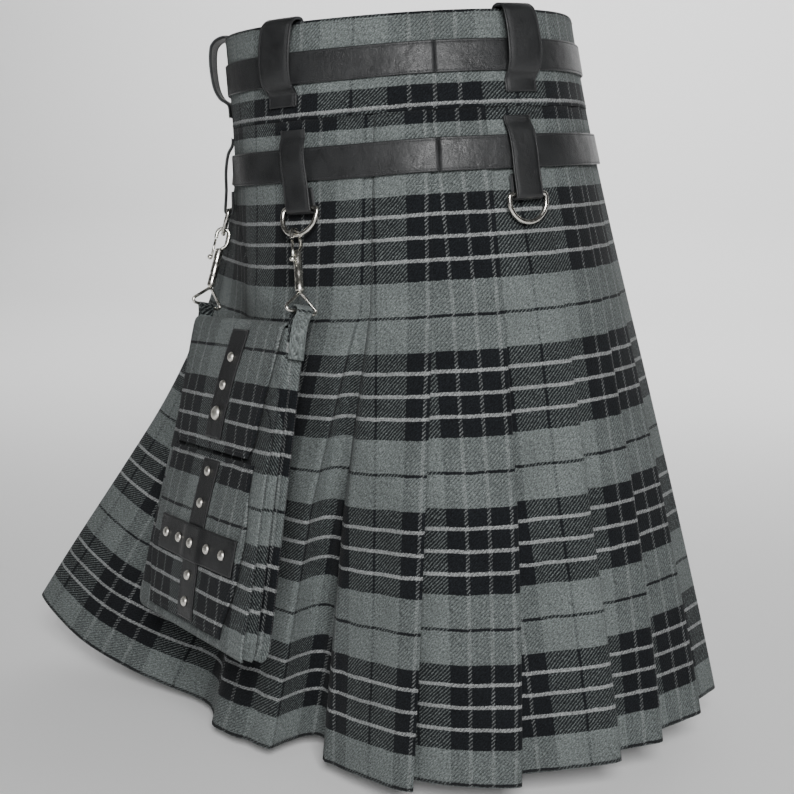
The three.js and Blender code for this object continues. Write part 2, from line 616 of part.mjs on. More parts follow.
// The bag's outline at one height: two faces, and a bellows of two folds at each side
function bagOutline(down, cornerCut = 0) {
  const half = bagHalf(down) - cornerCut;
  const depth = bagDepth(down);
  const fold = BAG.fold * THREE.MathUtils.smoothstep(down, BAG.flat, BAG.flat + 60);
  const bulge = BAG.bulge * Math.sin(Math.PI * THREE.MathUtils.clamp(down / BAG.height, 0, 1));
  const side = [
    { x: half - 2, out: 0 }, { x: half, out: 2.2 }, { x: half - fold, out: depth * 0.27 },
    { x: half - 0.5, out: depth * 0.5 }, { x: half - fold, out: depth * 0.73 }, { x: half, out: depth - 2.2 },
    { x: half - 2, out: depth },
  ];
  const front = [{ x: half * 0.5, out: depth + bulge * 0.8 }, { x: 0, out: depth + bulge }];
  front.push({ x: -half * 0.5, out: depth + bulge * 0.8 });
  const farSide = side.map((point) => ({ x: -point.x, out: point.out })).reverse();
  return [...side, ...front, ...farSide];
}

// A closed outline moved inwards by a wall's thickness
function insideOutline(outline, thickness) {
  const count = outline.length;
  return outline.map((point, i) => {
    const before = outline[(i + count - 1) % count];
    const after = outline[(i + 1) % count];
    const first = new THREE.Vector2(before.out - point.out, point.x - before.x).normalize();
    const second = new THREE.Vector2(point.out - after.out, after.x - point.x).normalize();
    const mean = new THREE.Vector2().addVectors(first, second).normalize();
    const reach = Math.min(1.8, 1 / Math.max(0.3, mean.dot(second)));
    return { x: point.x + mean.x * thickness * reach, out: point.out + mean.y * thickness * reach };
  });
}

// A cup of rings: outer skin, inner skin and floor, open at the top
function cupGeometry(outerRings, innerRings) {
  const sides = outerRings[0].length;
  const positions = [];
  const index = [];
  const rings = [...outerRings].reverse().concat(innerRings);
  for (const ring of rings) {
    for (const point of ring) positions.push(point.x, point.y, point.z);
  }
  for (let r = 0; r < rings.length - 1; r += 1) {
    for (let k = 0; k < sides; k += 1) {
      const next = (k + 1) % sides;
      const [a, b] = [r * sides + k, r * sides + next];
      const [c, d] = [(r + 1) * sides + next, (r + 1) * sides + k];
      index.push(a, b, c, a, c, d);
    }
  }
  const fan = (start, flip) => {
    const middle = positions.length / 3;
    const centre = vec(0, 0, 0);
    for (let k = 0; k < sides; k += 1) {
      const at = 3 * (start + k);
      centre.add(vec(positions[at], positions[at + 1], positions[at + 2]));
    }
    centre.divideScalar(sides);
    positions.push(centre.x, centre.y, centre.z);
    for (let k = 0; k < sides; k += 1) {
      const next = (k + 1) % sides;
      if (flip) index.push(middle, start + k, start + next);
      else index.push(middle, start + next, start + k);
    }
  };
  fan(0, false);
  fan((rings.length - 1) * sides, true);
  return closedGeometry(positions, index);
}

function addBag() {
  const levels = [0, BAG.flat, 50, 70, 90, 140, 190, 235, BAG.height - 5];
  const ring = (outline, down) => outline.map(({ x, out }) => onPocket(x, down, out));
  const outer = levels.map((down) => ring(bagOutline(down), down));
  outer.push(ring(insideOutline(bagOutline(BAG.height, 2), 1.5), BAG.height));
  const inner = levels.map((down) => ring(insideOutline(bagOutline(down), BAG.wall), down));
  addMesh('pocket_bag', cupGeometry(outer, inner), COLOURS.cloth);
}

// A sheet on the pocket: rows of down and out, columns across, narrowing and puffed in its middle
const SHEET_PARTS = [-0.5, -0.46, -0.3, -0.1, 0.1, 0.3, 0.46, 0.5];
function puffedSheet({ rows, widthAt }) {
  const grid = (side) => besideLine(rows, side * SHEET / 2).map((point, r) => SHEET_PARTS.map((part) => {
    const middle = 1 - (2 * part) ** 4;
    return onPocket(part * widthAt(rows[r].down), point.down, point.out + rows[r].puff * middle);
  }));
  return wallGeometry(grid(1), grid(-1));
}

// How far out a sheet's face lies, worked out from its rows and columns
function sheetOut(sheet, across, down) {
  let r = 0;
  while (r < sheet.rows.length - 2 && down > sheet.rows[r + 1].down) r += 1;
  const rowOut = (row) => {
    const part = THREE.MathUtils.clamp(across / sheet.widthAt(row.down), -0.5, 0.5);
    let c = 0;
    while (c < SHEET_PARTS.length - 2 && part > SHEET_PARTS[c + 1]) c += 1;
    const [a, b] = [SHEET_PARTS[c], SHEET_PARTS[c + 1]];
    const middle = THREE.MathUtils.lerp(1 - (2 * a) ** 4, 1 - (2 * b) ** 4, (part - a) / (b - a));
    return row.out + row.puff * middle;
  };
  const [from, to] = [sheet.rows[r], sheet.rows[r + 1]];
  const t = THREE.MathUtils.clamp((down - from.down) / (to.down - from.down), 0, 1);
  return THREE.MathUtils.lerp(rowOut(from), rowOut(to), t) + SHEET / 2;
}

const flap = {
  rows: [
    { down: 16, out: -1.3, puff: 0 }, { down: 0, out: -1.3, puff: 0 }, { down: -3, out: 0.4, puff: 0 },
    { down: -3.6, out: 6, puff: 0 }, { down: -3.6, out: 13, puff: 0 }, { down: -2.4, out: 18.6, puff: 0 },
    { down: 3, out: 20.8, puff: 0.3 }, { down: 18, out: 22, puff: 1 }, { down: 45, out: 24.2, puff: 2 },
    { down: 78, out: 26, puff: 2 }, { down: 100, out: 26.6, puff: 1.2 },
    { down: FLAP.drop, out: 26.4, puff: 0.6 },
  ],
  widthAt: (down) => {
    const cut = FLAP.corner * THREE.MathUtils.smoothstep(down, FLAP.drop - FLAP.corner, FLAP.drop);
    const share = THREE.MathUtils.clamp(down / FLAP.drop, 0, 1);
    return THREE.MathUtils.lerp(FLAP.topWidth, FLAP.bottomWidth, share) - cut;
  },
};
const flapFront = { ...flap, rows: flap.rows.slice(6) };

const patchLength = PATCH.bottom - PATCH.top;
const patch = {
  rows: [0, 0.04, 0.2, 0.4, 0.6, 0.8, 0.93, 1].map((t) => {
    const down = PATCH.top + t * patchLength;
    const tuck = t === 0 || t === 1 ? 0.8 : 0;
    return { down, out: bagDepth(down) + BAG.bulge + 2 - tuck, puff: PATCH.puff * Math.sin(Math.PI * t) };
  }),
  widthAt: (down) => {
    const t = (down - PATCH.top) / patchLength;
    const widening = THREE.MathUtils.smoothstep(t, 0, 0.5);
    const upper = THREE.MathUtils.lerp(PATCH.topWidth, PATCH.middleWidth, widening);
    return THREE.MathUtils.lerp(upper, PATCH.bottomWidth, THREE.MathUtils.smoothstep(t, 0.6, 1));
  },
};

// Leather strips on the flap and the patch: where they run, and what they lie over
const STRIP_WIDTH = 28;
const UPRIGHT = { middle: 9, from: 9 - STRIP_WIDTH / 2, to: 9 + STRIP_WIDTH / 2 };
const STRIPS = [
  { name: 'flap_strip', sheet: flapFront, from: 3, to: 3 + STRIP_WIDTH, top: 5, bottom: 98, drift: -10 },
  { name: 'cross_upright', sheet: patch, from: UPRIGHT.from, to: UPRIGHT.to, top: 116, bottom: 250, drift: 0 },
  { name: 'cross_bar', sheet: patch, from: -60, to: 78, top: 172, bottom: 202, drift: 0, over: UPRIGHT },
];

function addStrips() {
  for (const strip of STRIPS) {
    const breaks = [strip.from, strip.to];
    if (strip.over) breaks.push(strip.over.from - 5, strip.over.from - 1, strip.over.to + 1, strip.over.to + 5);
    for (const part of SHEET_PARTS) breaks.push(part * strip.sheet.widthAt((strip.top + strip.bottom) / 2));
    const columns = breaks.filter((x) => x >= strip.from && x <= strip.to).sort((a, b) => a - b);
    const rows = [strip.top, strip.bottom, ...strip.sheet.rows.map((row) => row.down)];
    const downs = rows.filter((d) => d >= strip.top && d <= strip.bottom).sort((a, b) => a - b);
    const raised = (x) => (strip.over && x > strip.over.from - 2 && x < strip.over.to + 2 ? LEATHER + SEAM : 0);
    const drifted = (x, down) => x + strip.drift * (down - strip.top) / (strip.bottom - strip.top);
    const place = (x, down, gap) => onPocket(x, down, sheetOut(strip.sheet, x, down) + gap + raised(x));
    const grid = (gap) => downs.map((down) => columns.map((x) => place(drifted(x, down), down, gap)));
    addMesh(`leather_${strip.name}`, wallGeometry(grid(0.5 + LEATHER), grid(0.5)), COLOURS.leather);
  }
}

// Dome studs, named for the strip that each row is set in
const STUD_ROWS = [
  { name: 'flap', sheet: flapFront, places: [[14.5, 29], [12, 53]], lift: 0 },
  { name: 'upright_top', sheet: patch, places: [[9, 126], [9, 153]], lift: 0 },
  {
    name: 'bar', sheet: patch, lift: LEATHER + SEAM,
    places: [[-44, 187], [-18, 187], [9, 187], [36, 187], [62, 187]],
  },
  { name: 'upright_bottom', sheet: patch, places: [[9, 214], [9, 236]], lift: 0 },
  { name: 'flap_large', sheet: flapFront, places: [[9.5, 77]], lift: 0, large: true },
];

function domeGeometry(radius, height) {
  const profile = [[0, 0], [radius, 0], [radius * 0.97, height * 0.35], [radius * 0.72, height * 0.78]];
  profile.push([radius * 0.36, height * 0.96], [0, height]);
  return latheSolid(profile, 10);
}

function addStuds() {
  const axes = new THREE.Matrix4().makeBasis(pocketAxes.side, pocketAxes.out, pocketAxes.fall);
  for (const row of STUD_ROWS) {
    row.places.forEach(([across, down], i) => {
      const size = row.large ? [STUD.largeRadius, STUD.largeHeight] : [STUD.radius, STUD.height];
      const raised = Math.abs(across - UPRIGHT.middle) < STRIP_WIDTH / 2 ? row.lift : 0;
      const out = sheetOut(row.sheet, across, down) + 0.5 + LEATHER + STUD.seat + raised;
      const dome = domeGeometry(...size).applyMatrix4(axes);
      const at = onPocket(across, down, out);
      dome.translate(at.x, at.y, at.z);
      addMesh(`stud_${row.name}_${i + 1}`, dome, COLOURS.nickel);
    });
  }
}

// A turned solid about the Y axis, from a profile that starts and ends on the axis
function latheSolid(profile, segments) {
  const lathe = new THREE.LatheGeometry(profile.map(([x, y]) => new THREE.Vector2(x, y)), segments);
  lathe.deleteAttribute('normal');
  lathe.deleteAttribute('uv');
  const merged = mergeVertices(lathe, 1e-4);
  return withoutFlatFaces(merged);
}

function withoutFlatFaces(geometry) {
  const index = [];
  const source = geometry.index.array;
  for (let i = 0; i < source.length; i += 3) {
    const [a, b, c] = [source[i], source[i + 1], source[i + 2]];
    if (a !== b && b !== c && a !== c) index.push(a, b, c);
  }
  return closedGeometry(Array.from(geometry.attributes.position.array), index);
}

// Joins closed geometries into one solid, with points nearer than JOIN_GAP made one
const JOIN_GAP = 0.01;
function joined(geometries) {
  const solids = geometries.map((geometry) => new wasm.Manifold(new wasm.Mesh({
    numProp: 3,
    vertProperties: new Float32Array(geometry.attributes.position.array),
    triVerts: new Uint32Array(geometry.index.array),
  })));
  const mesh = solids.reduce((sum, solid) => sum.add(solid)).getMesh();
  const result = new THREE.BufferGeometry();
  result.setAttribute('position', new THREE.Float32BufferAttribute(mesh.vertProperties, 3));
  result.setIndex(Array.from(mesh.triVerts));
  return withoutFlatFaces(mergeVertices(result, JOIN_GAP));
}

// The eye's wire is bent round at each corner, more gently than its own radius
function bentCorner(before, corner, after) {
  const toBefore = before.clone().sub(corner).normalize();
  const toAfter = after.clone().sub(corner).normalize();
  const halfAngle = toBefore.angleTo(toAfter) / 2;
  const inwards = toBefore.clone().add(toAfter).normalize();
  const centre = corner.clone().addScaledVector(inwards, EYE.bend / Math.sin(halfAngle));
  const start = corner.clone().addScaledVector(toBefore, EYE.bend / Math.tan(halfAngle)).sub(centre);
  const end = corner.clone().addScaledVector(toAfter, EYE.bend / Math.tan(halfAngle)).sub(centre);
  const turn = start.angleTo(end);
  const points = [];
  for (let i = 0; i <= EYE.bendSteps; i += 1) {
    const t = i / EYE.bendSteps;
    const point = start.clone().multiplyScalar(Math.sin((1 - t) * turn) / Math.sin(turn));
    points.push(point.addScaledVector(end, Math.sin(t * turn) / Math.sin(turn)).add(centre));
  }
  return points;
}

// A hook hangs from each hooked ring, and its eye carries a cloth loop of the pocket
function hookGeometries(length) {
  const barrelEnd = length - EYE.height - 3;
  const jaw = HOOK.jawHalf;
  const middle = HOOK.jawTop + jaw;
  const hookLine = [vec(0, HOOK.shank + 1, 0), vec(-2.5, HOOK.shank - 1.5, 0), vec(-jaw, HOOK.shank - 6, 0)];
  for (let i = 0; i <= 8; i += 1) {
    const turn = Math.PI * (1 - i / 8);
    hookLine.push(vec(jaw * Math.cos(turn), middle - jaw * Math.sin(turn), 0));
  }
  hookLine.push(vec(jaw, HOOK.tip, 0));
  const radius = HOOK.barrelRadius;
  const barrel = latheSolid([
    [0, HOOK.shank], [radius - 0.8, HOOK.shank], [radius, HOOK.shank + 1], [radius, barrelEnd - 1.2],
    [radius - 0.9, barrelEnd], [HOOK.bore, barrelEnd], [HOOK.bore, barrelEnd - HOOK.boreDepth],
    [0, barrelEnd - HOOK.boreDepth],
  ], 12);
  const hook = joined([wireGeometry(hookLine, HOOK.wire, 8, false), barrel]);
  const knob = new THREE.SphereGeometry(GATE.knobRadius, 8, 6);
  knob.deleteAttribute('normal');
  knob.deleteAttribute('uv');
  const ball = withoutFlatFaces(mergeVertices(knob, 1e-4)).translate(jaw + 1.2, GATE.knobDown, 0);
  const rod = wireGeometry([vec(jaw, GATE.top, 0), vec(jaw, GATE.knobDown, 0)], GATE.wire, 8, false);
  const gate = joined([rod, ball]);
  const eyeTop = barrelEnd + 1.5;
  const corners = [vec(0, eyeTop - EYE.bend * 0.43, 0), vec(0, length, EYE.spread), vec(0, length, -EYE.spread)];
  const triangle = corners.flatMap((corner, i) => bentCorner(corners.at(i - 1), corner, corners[(i + 1) % 3]));
  const pinLine = [vec(0, barrelEnd - HOOK.boreDepth + 0.6, 0), vec(0, eyeTop + EYE.pinIntoEye, 0)];
  const pin = wireGeometry(pinLine, EYE.pin, EYE.sides, false);
  const eye = joined([wireGeometry(triangle, EYE.wire, EYE.sides, true), pin]);
  return { hook, gate, eye };
}

const loopBar = { out: SEAM + POCKET_LOOP.thickness + EYE.wire + 1.3 };
function addChains() {
  const chains = [{ loop: LOOPS[0], sign: -1, name: 'front' }, { loop: LOOPS[1], sign: 1, name: 'rear' }];
  for (const { loop, sign, name } of chains) {
    const ring = ringFrame(loop);
    const top = ring.centre.clone().addScaledVector(ring.fall, RING.drop);
    const across = sign * (bagHalf(0) + loopBar.out);
    const bottom = onPocket(across, -POCKET_LOOP.rise, BAG.topDepth / 2);
    const down = bottom.clone().sub(top);
    const length = down.length();
    down.normalize();
    const parts = hookGeometries(length);
    const face = ring.out.clone().addScaledVector(down, -ring.out.dot(down)).normalize();
    const hookAxes = new THREE.Matrix4().makeBasis(face, down, vec(0, 0, 0).crossVectors(face, down));
    hookAxes.setPosition(top);
    const bar = pocketAxes.out.clone().addScaledVector(down, -pocketAxes.out.dot(down)).normalize();
    const eyeAxes = new THREE.Matrix4().makeBasis(vec(0, 0, 0).crossVectors(down, bar), down, bar);
    eyeAxes.setPosition(top);
    addMesh(`hook_body_${name}`, parts.hook.applyMatrix4(hookAxes), COLOURS.nickel);
    addMesh(`hook_gate_${name}`, parts.gate.applyMatrix4(hookAxes), COLOURS.nickel);
    addMesh(`hook_eye_${name}`, parts.eye.applyMatrix4(eyeAxes), COLOURS.nickel);
    addMesh(`pocket_loop_${name}`, pocketLoopGeometry(sign), COLOURS.cloth);
  }
}

// A cloth loop sewn on the side of the bag, up round the eye's bar and down again
function pocketLoopGeometry(sign) {
  const near = SEAM + POCKET_LOOP.thickness / 2;
  const bend = loopBar.out - near;
  const line = [{ down: POCKET_LOOP.tail, out: near }, { down: 0, out: near }];
  for (const turn of [0, 35, 70, 110, 145, 180]) {
    const down = -POCKET_LOOP.rise - bend * Math.sin(rad(turn));
    line.push({ down, out: loopBar.out - bend * Math.cos(rad(turn)) });
  }
  line.push({ down: -3, out: near + 2.6 }, { down: POCKET_LOOP.tail, out: near + POCKET_LOOP.thickness + 0.4 });
  const place = (sideways, down, out) => {
    const half = bagHalf(Math.max(0, down));
    return onPocket(sign * (half + out), down, BAG.topDepth / 2 + sideways);
  };
  return bentStrip(line, POCKET_LOOP.thickness, POCKET_LOOP.width, place);
}

function addPocketFronts() {
  addMesh('pocket_flap', puffedSheet(flap), COLOURS.cloth);
  addMesh('pocket_patch', puffedSheet(patch), COLOURS.cloth);
}

addSkirt();
addUnderApron();
addWaistband();
addStraps();
addLoops();
addBag();
addPocketFronts();
addStrips();
addStuds();
addChains();

export default kilt;
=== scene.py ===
import math
import bmesh
import bpy
import numpy as np
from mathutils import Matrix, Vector


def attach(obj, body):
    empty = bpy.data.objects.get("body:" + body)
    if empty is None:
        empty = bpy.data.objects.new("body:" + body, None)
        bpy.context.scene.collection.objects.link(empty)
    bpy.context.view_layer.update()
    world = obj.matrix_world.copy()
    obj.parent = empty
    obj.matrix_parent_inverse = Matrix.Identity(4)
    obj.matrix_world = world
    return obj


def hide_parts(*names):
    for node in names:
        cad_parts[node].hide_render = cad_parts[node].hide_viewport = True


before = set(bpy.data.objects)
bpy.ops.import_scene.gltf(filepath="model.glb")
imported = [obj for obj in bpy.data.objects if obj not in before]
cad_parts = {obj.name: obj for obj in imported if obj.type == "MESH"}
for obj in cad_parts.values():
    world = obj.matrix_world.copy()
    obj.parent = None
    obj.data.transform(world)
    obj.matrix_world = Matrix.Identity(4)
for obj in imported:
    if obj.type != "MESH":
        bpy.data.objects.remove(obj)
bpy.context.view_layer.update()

MM = 0.001


# Camera, lights and sweep.
# The photograph is a studio shot on white, taken from the wearer's left and a little above.
# One soft light stands behind the camera, a little above it; the rest only fill.
camera_data = bpy.data.cameras.new("camera")
camera_data.lens = 56.07
camera_data.sensor_width = 36
camera_data.clip_end = 30
camera = bpy.data.objects.new("camera", camera_data)
bpy.context.scene.collection.objects.link(camera)
CAMERA_PLACE = Vector((1.10993, 0.28492, -0.10976))
CAMERA_TARGET = Vector((0.00583, 0.00159, -0.33111))
camera.location = CAMERA_PLACE
camera.rotation_euler = (CAMERA_TARGET - CAMERA_PLACE).to_track_quat("-Z", "Y").to_euler()
bpy.context.scene.camera = camera


def soft_light(name, place, size, power, aim=(0, 0, -0.3)):
    data = bpy.data.lights.new(name, "AREA")
    data.shape = "RECTANGLE"
    data.size = size[0]
    data.size_y = size[1]
    data.energy = power
    lamp = bpy.data.objects.new(name, data)
    lamp.location = place
    towards = Vector(aim) - Vector(place)
    lamp.rotation_euler = towards.to_track_quat("-Z", "Y").to_euler()
    bpy.context.scene.collection.objects.link(lamp)


soft_light("key", place=(1.86, 0.62, 0.66), size=(0.7, 0.7), power=46)
soft_light("front_fill", place=(-0.6, -2.1, 0.8), size=(1.4, 1.4), power=2)
soft_light("back_fill", place=(-1.9, 0.9, 1.0), size=(1.5, 1.5), power=3)
soft_light("wall_light", place=(-1.3, 0.0, 1.5), size=(4.0, 0.6), power=90, aim=(-3.0, 0.0, 0.3))
world = bpy.data.worlds.new("studio")
world.use_nodes = True
world.node_tree.nodes["Background"].inputs["Color"].default_value = (1, 1, 1, 1)
world.node_tree.nodes["Background"].inputs["Strength"].default_value = 0.05
bpy.context.scene.world = world

sweep_mesh = bpy.data.meshes.new("sweep")
FLOOR = -0.632
sweep_line = [(-3.0, 2.6), (-3.0, 1.0), (-2.85, 0.35), (-2.5, 0.08), (-2.0, 0.0), (3.5, 0.0)]
sweep_points = [(x, y, FLOOR + z) for x, z in sweep_line for y in (-4.0, 4.0)]
sweep_faces = [(2 * i, 2 * i + 1, 2 * i + 3, 2 * i + 2) for i in range(len(sweep_line) - 1)]
sweep_mesh.from_pydata(sweep_points, [], sweep_faces)
for face in sweep_mesh.polygons:
    face.use_smooth = True
sweep_material = bpy.data.materials.new("sweep_paper")
sweep_material.use_nodes = True
sweep_shader = sweep_material.node_tree.nodes["Principled BSDF"]
sweep_shader.inputs["Base Color"].default_value = (0.93, 0.93, 0.93, 1)
sweep_shader.inputs["Emission Color"].default_value = (1, 1, 1, 1)
sweep_shader.inputs["Emission Strength"].default_value = 0.06
sweep_shader.inputs["Roughness"].default_value = 0.9
sweep_mesh.materials.append(sweep_material)
sweep = bpy.data.objects.new("sweep", sweep_mesh)
bpy.context.scene.collection.objects.link(sweep)


# The front apron.
# One flat-fronted panel of checked wool twill, from its free edge at the right hip to the
# inverted pleat at the left. It is sewn to the waistband and hangs free below the fell.
CLOTH_LENGTH = 616
BAND_DEPTH = 78
FELL_END = 233
SEAM = 0.3
WAIST = {
    "half_width": 131.6, "front": 150.5, "back": 153.7,
    "front_power": 2.34, "back_power": 2.19, "tilt": 0.056,
}
STATION_NAMES = ("waist", "band", "fell", "thigh", "knee", "hem")
STATIONS = dict(zip(STATION_NAMES, (0, 130, 268, 392, 500, CLOTH_LENGTH)))
# Degrees from plumb at each station, one row for each turn from centre front
SLOPE_ROWS = {
    0: (-14.8, -6, 5.5, 14, 18, 20),
    22: (-7, -4.5, 0, 4.5, 8.5, 13),
    45: (-0.6, 0, 1.6, 5, 9, 13),
    68: (4, 3.3, 3.5, 4.5, 5.5, 6.5),
    90: (8.3, 7.3, 6.9, 6.8, 6.3, 5.7),
    112: (12.9, 12.7, 12, 11, 9.3, 7.1),
    135: (13.3, 13, 12.6, 11.5, 9.8, 8.1),
    158: (12.1, 13.3, 13.7, 13, 11.8, 10.5),
    180: (9.8, 14, 15.5, 14.9, 14.5, 13.4),
}
FRONT_FOLD_SLOPES = dict(zip(STATION_NAMES, (12.9, 14.9, 18.6, 20.7, 17.5, 13.7)))
FRONT_FOLD = {"half_angle": 40, "roundness": 1, "power": 2.2}
STEP = 10
TABLE_TURN = 0.25


def smooth_rows(places, values, at):
    places = np.array(places, float)
    values = np.array(values, float)
    rise = np.diff(values) / np.diff(places)
    tangent = np.zeros(len(places))
    tangent[1:-1] = (rise[:-1] + rise[1:]) / 2
    i = np.clip(np.searchsorted(places, at, side="left") - 1, 0, len(places) - 2)
    width = places[i + 1] - places[i]
    t = np.clip((at - places[i]) / width, 0, 1)
    from_start = values[i] * (2 * t**3 - 3 * t**2 + 1) + tangent[i] * width * (t**3 - 2 * t**2 + t)
    return from_start + values[i + 1] * (3 * t**2 - 2 * t**3) + tangent[i + 1] * width * (t**3 - t**2)


def form_table():
    turns = np.arange(0, 180 + TABLE_TURN / 2, TABLE_TURN)
    near_front = np.hypot(turns, FRONT_FOLD["roundness"]) - FRONT_FOLD["roundness"]
    fade = np.maximum(0, 1 - near_front / FRONT_FOLD["half_angle"]) ** FRONT_FOLD["power"]
    slopes = []
    for i, name in enumerate(STATION_NAMES):
        column = [row[i] for row in SLOPE_ROWS.values()]
        slopes.append(smooth_rows(list(SLOPE_ROWS), column, turns) + FRONT_FOLD_SLOPES[name] * fade)
    across = np.abs(np.sin(np.radians(turns)))
    along = np.cos(np.radians(turns))
    reach = np.where(along > 0, WAIST["front"], WAIST["back"])
    power = np.where(along > 0, WAIST["front_power"], WAIST["back_power"])
    radius = ((across / WAIST["half_width"]) ** power + (np.abs(along) / reach) ** power) ** (-1 / power)
    height = -WAIST["tilt"] * radius * along
    radii, heights = [radius], [height]
    places = list(STATIONS.values())
    for down in np.arange(STEP / 2, CLOTH_LENGTH + 4 * STEP, STEP):
        i = min(int(np.searchsorted(places, down)) - 1, len(places) - 2)
        t = np.clip((down - places[i]) / (places[i + 1] - places[i]), 0, 1)
        slope = np.radians(slopes[i] * (1 - t) + slopes[i + 1] * t)
        radius = radius + STEP * np.sin(slope)
        height = height - STEP * np.cos(slope)
        radii.append(radius)
        heights.append(height)
    return np.array(radii), np.array(heights)


FORM_RADII, FORM_HEIGHTS = form_table()


def read_table(table, azimuth, down):
    turned = np.abs((np.asarray(azimuth, float) % 360 + 540) % 360 - 180) / TABLE_TURN
    rows = np.clip(np.asarray(down, float) / STEP, -1, table.shape[0] - 1.001)
    r = np.clip(np.floor(rows).astype(int), 0, table.shape[0] - 2)
    c = np.clip(np.floor(turned).astype(int), 0, table.shape[1] - 2)
    s, t = rows - r, turned - c
    upper = table[r, c] * (1 - t) + table[r, c + 1] * t
    lower = table[r + 1, c] * (1 - t) + table[r + 1, c + 1] * t
    return upper * (1 - s) + lower * s


def form_point(azimuth, down, inset=0):
    radius = read_table(FORM_RADII, azimuth, down) - inset
    turn = np.radians(azimuth)
    height = read_table(FORM_HEIGHTS, azimuth, down) + 0 * radius
    return np.stack([radius * np.sin(turn), -radius * np.cos(turn), height], axis=-1)


def unit(vectors):
    return vectors / np.linalg.norm(vectors, axis=-1, keepdims=True)


def form_frame(azimuth, down):
    azimuth, down = np.asarray(azimuth, float), np.asarray(down, float)
    side = unit(form_point(azimuth + 0.5, down) - form_point(azimuth - 0.5, down))
    fall = unit(form_point(azimuth, down + 6) - form_point(azimuth, down))
    return side, fall, unit(np.cross(fall, side))


def on_form(azimuth, down, out):
    _, _, outward = form_frame(azimuth, down)
    return form_point(azimuth, down) + outward * np.asarray(out, float)[..., None]


ARC_TURNS = np.arange(0, 361, 1.0)
ARC_DOWNS = np.arange(0, CLOTH_LENGTH + 1, 11.0)


def arc_table():
    rows = []
    for down in ARC_DOWNS:
        points = form_point(ARC_TURNS, np.full(len(ARC_TURNS), down))
        spans = np.linalg.norm(np.diff(points, axis=0), axis=1)
        rows.append(np.concatenate([[0], np.cumsum(spans)]))
    return np.array(rows)


ARCS = arc_table()


def arc_length(azimuth, down):
    """Millimetres round the cloth from centre front, at one distance down."""
    row = np.clip(down / (ARC_DOWNS[1] - ARC_DOWNS[0]), 0, len(ARC_DOWNS) - 1.001)
    r = int(row)
    line = ARCS[r] * (1 - (row - r)) + ARCS[r + 1] * (row - r)
    azimuth = np.asarray(azimuth, float)
    return np.sign(azimuth) * np.interp(np.abs(azimuth), ARC_TURNS, line)


PLEAT_STATIONS = (BAND_DEPTH, FELL_END, 400, CLOTH_LENGTH)
APRON_EDGE = (93.6, 93.6, 79, 67)
HOLLOW = (97, 97, 88, 81.3)
HOLLOW_DEPTH = 44
HOLLOW_SLOPE = ((0.06, 0.4), (0.35, 0.95))
FELL_STEP = 2.4
OPENING_POWER = 0.85


def along_cloth(row, down):
    return float(np.interp(down, PLEAT_STATIONS, row))


def opening(down):
    return min(1.0, max(0.0, (down - FELL_END) / (CLOTH_LENGTH - FELL_END)))


def pleat_depth(hem_depth, down):
    return FELL_STEP + (hem_depth - FELL_STEP) * opening(down) ** OPENING_POWER


# The largest creases: where each starts and ends, how wide it is and how far it stands
CREASES = [
    {"from": (16, 150), "to": (52, 222), "width": 9, "height": -2.6},
    {"from": (20, 172), "to": (66, 236), "width": 8, "height": 2.2},
    {"from": (60, 160), "to": (78, 300), "width": 8, "height": -1.8},
    {"from": (84, 180), "to": (88, 300), "width": 9, "height": 1.6},
    {"from": (30, 300), "to": (22, 600), "width": 16, "height": -4.0},
    {"from": (52, 260), "to": (44, 616), "width": 15, "height": 3.0},
    {"from": (10, 380), "to": (8, 616), "width": 12, "height": 2.5},
    {"from": (64, 330), "to": (58, 616), "width": 11, "height": -3.0},
    {"from": (-24, 280), "to": (-20, 616), "width": 15, "height": -3.5},
    {"from": (-48, 240), "to": (-44, 616), "width": 15, "height": 3.0},
    {"from": (-70, 170), "to": (-60, 616), "width": 12, "height": -2.4},
    {"from": (104, 240), "to": (99, 560), "width": 10, "height": -2.0},
    {"from": (121, 250), "to": (116, 600), "width": 10, "height": 1.6},
    {"from": (138, 240), "to": (135, 580), "width": 9, "height": -1.8},
    {"from": (153, 260), "to": (149, 600), "width": 9, "height": 1.4},
    {"from": (206, 240), "to": (201, 600), "width": 9, "height": -1.6},
    {"from": (219, 260), "to": (213, 600), "width": 9, "height": 1.4},
    {"from": (234, 240), "to": (229, 600), "width": 9, "height": -1.8},
]


CREASE_SIDE = 100.0
CREASE_FADE = {"start": 3, "end": 4}


def crease_height(azimuth, down):
    """How far the creases raise the cloth at places on one row."""
    azimuth = np.asarray(azimuth, float)
    height = np.zeros(azimuth.shape)
    radius = np.linalg.norm(form_point(CREASE_SIDE, down)[:2])
    for crease in CREASES:
        (start_turn, start), (end_turn, end) = crease["from"], crease["to"]
        t = (down - start) / (end - start)
        if t < 0 or (t > 1 and end < CLOTH_LENGTH):
            continue
        middle = start_turn + (end_turn - start_turn) * min(t, 1)
        away = np.radians(azimuth - middle) * radius / crease["width"]
        ends = 1.0 if end >= CLOTH_LENGTH else min(1.0, CREASE_FADE["end"] * (1 - t))
        starts = min(1.0, CREASE_FADE["start"] * t)
        height += crease["height"] * np.exp(-away**2) * starts * ends
    return height


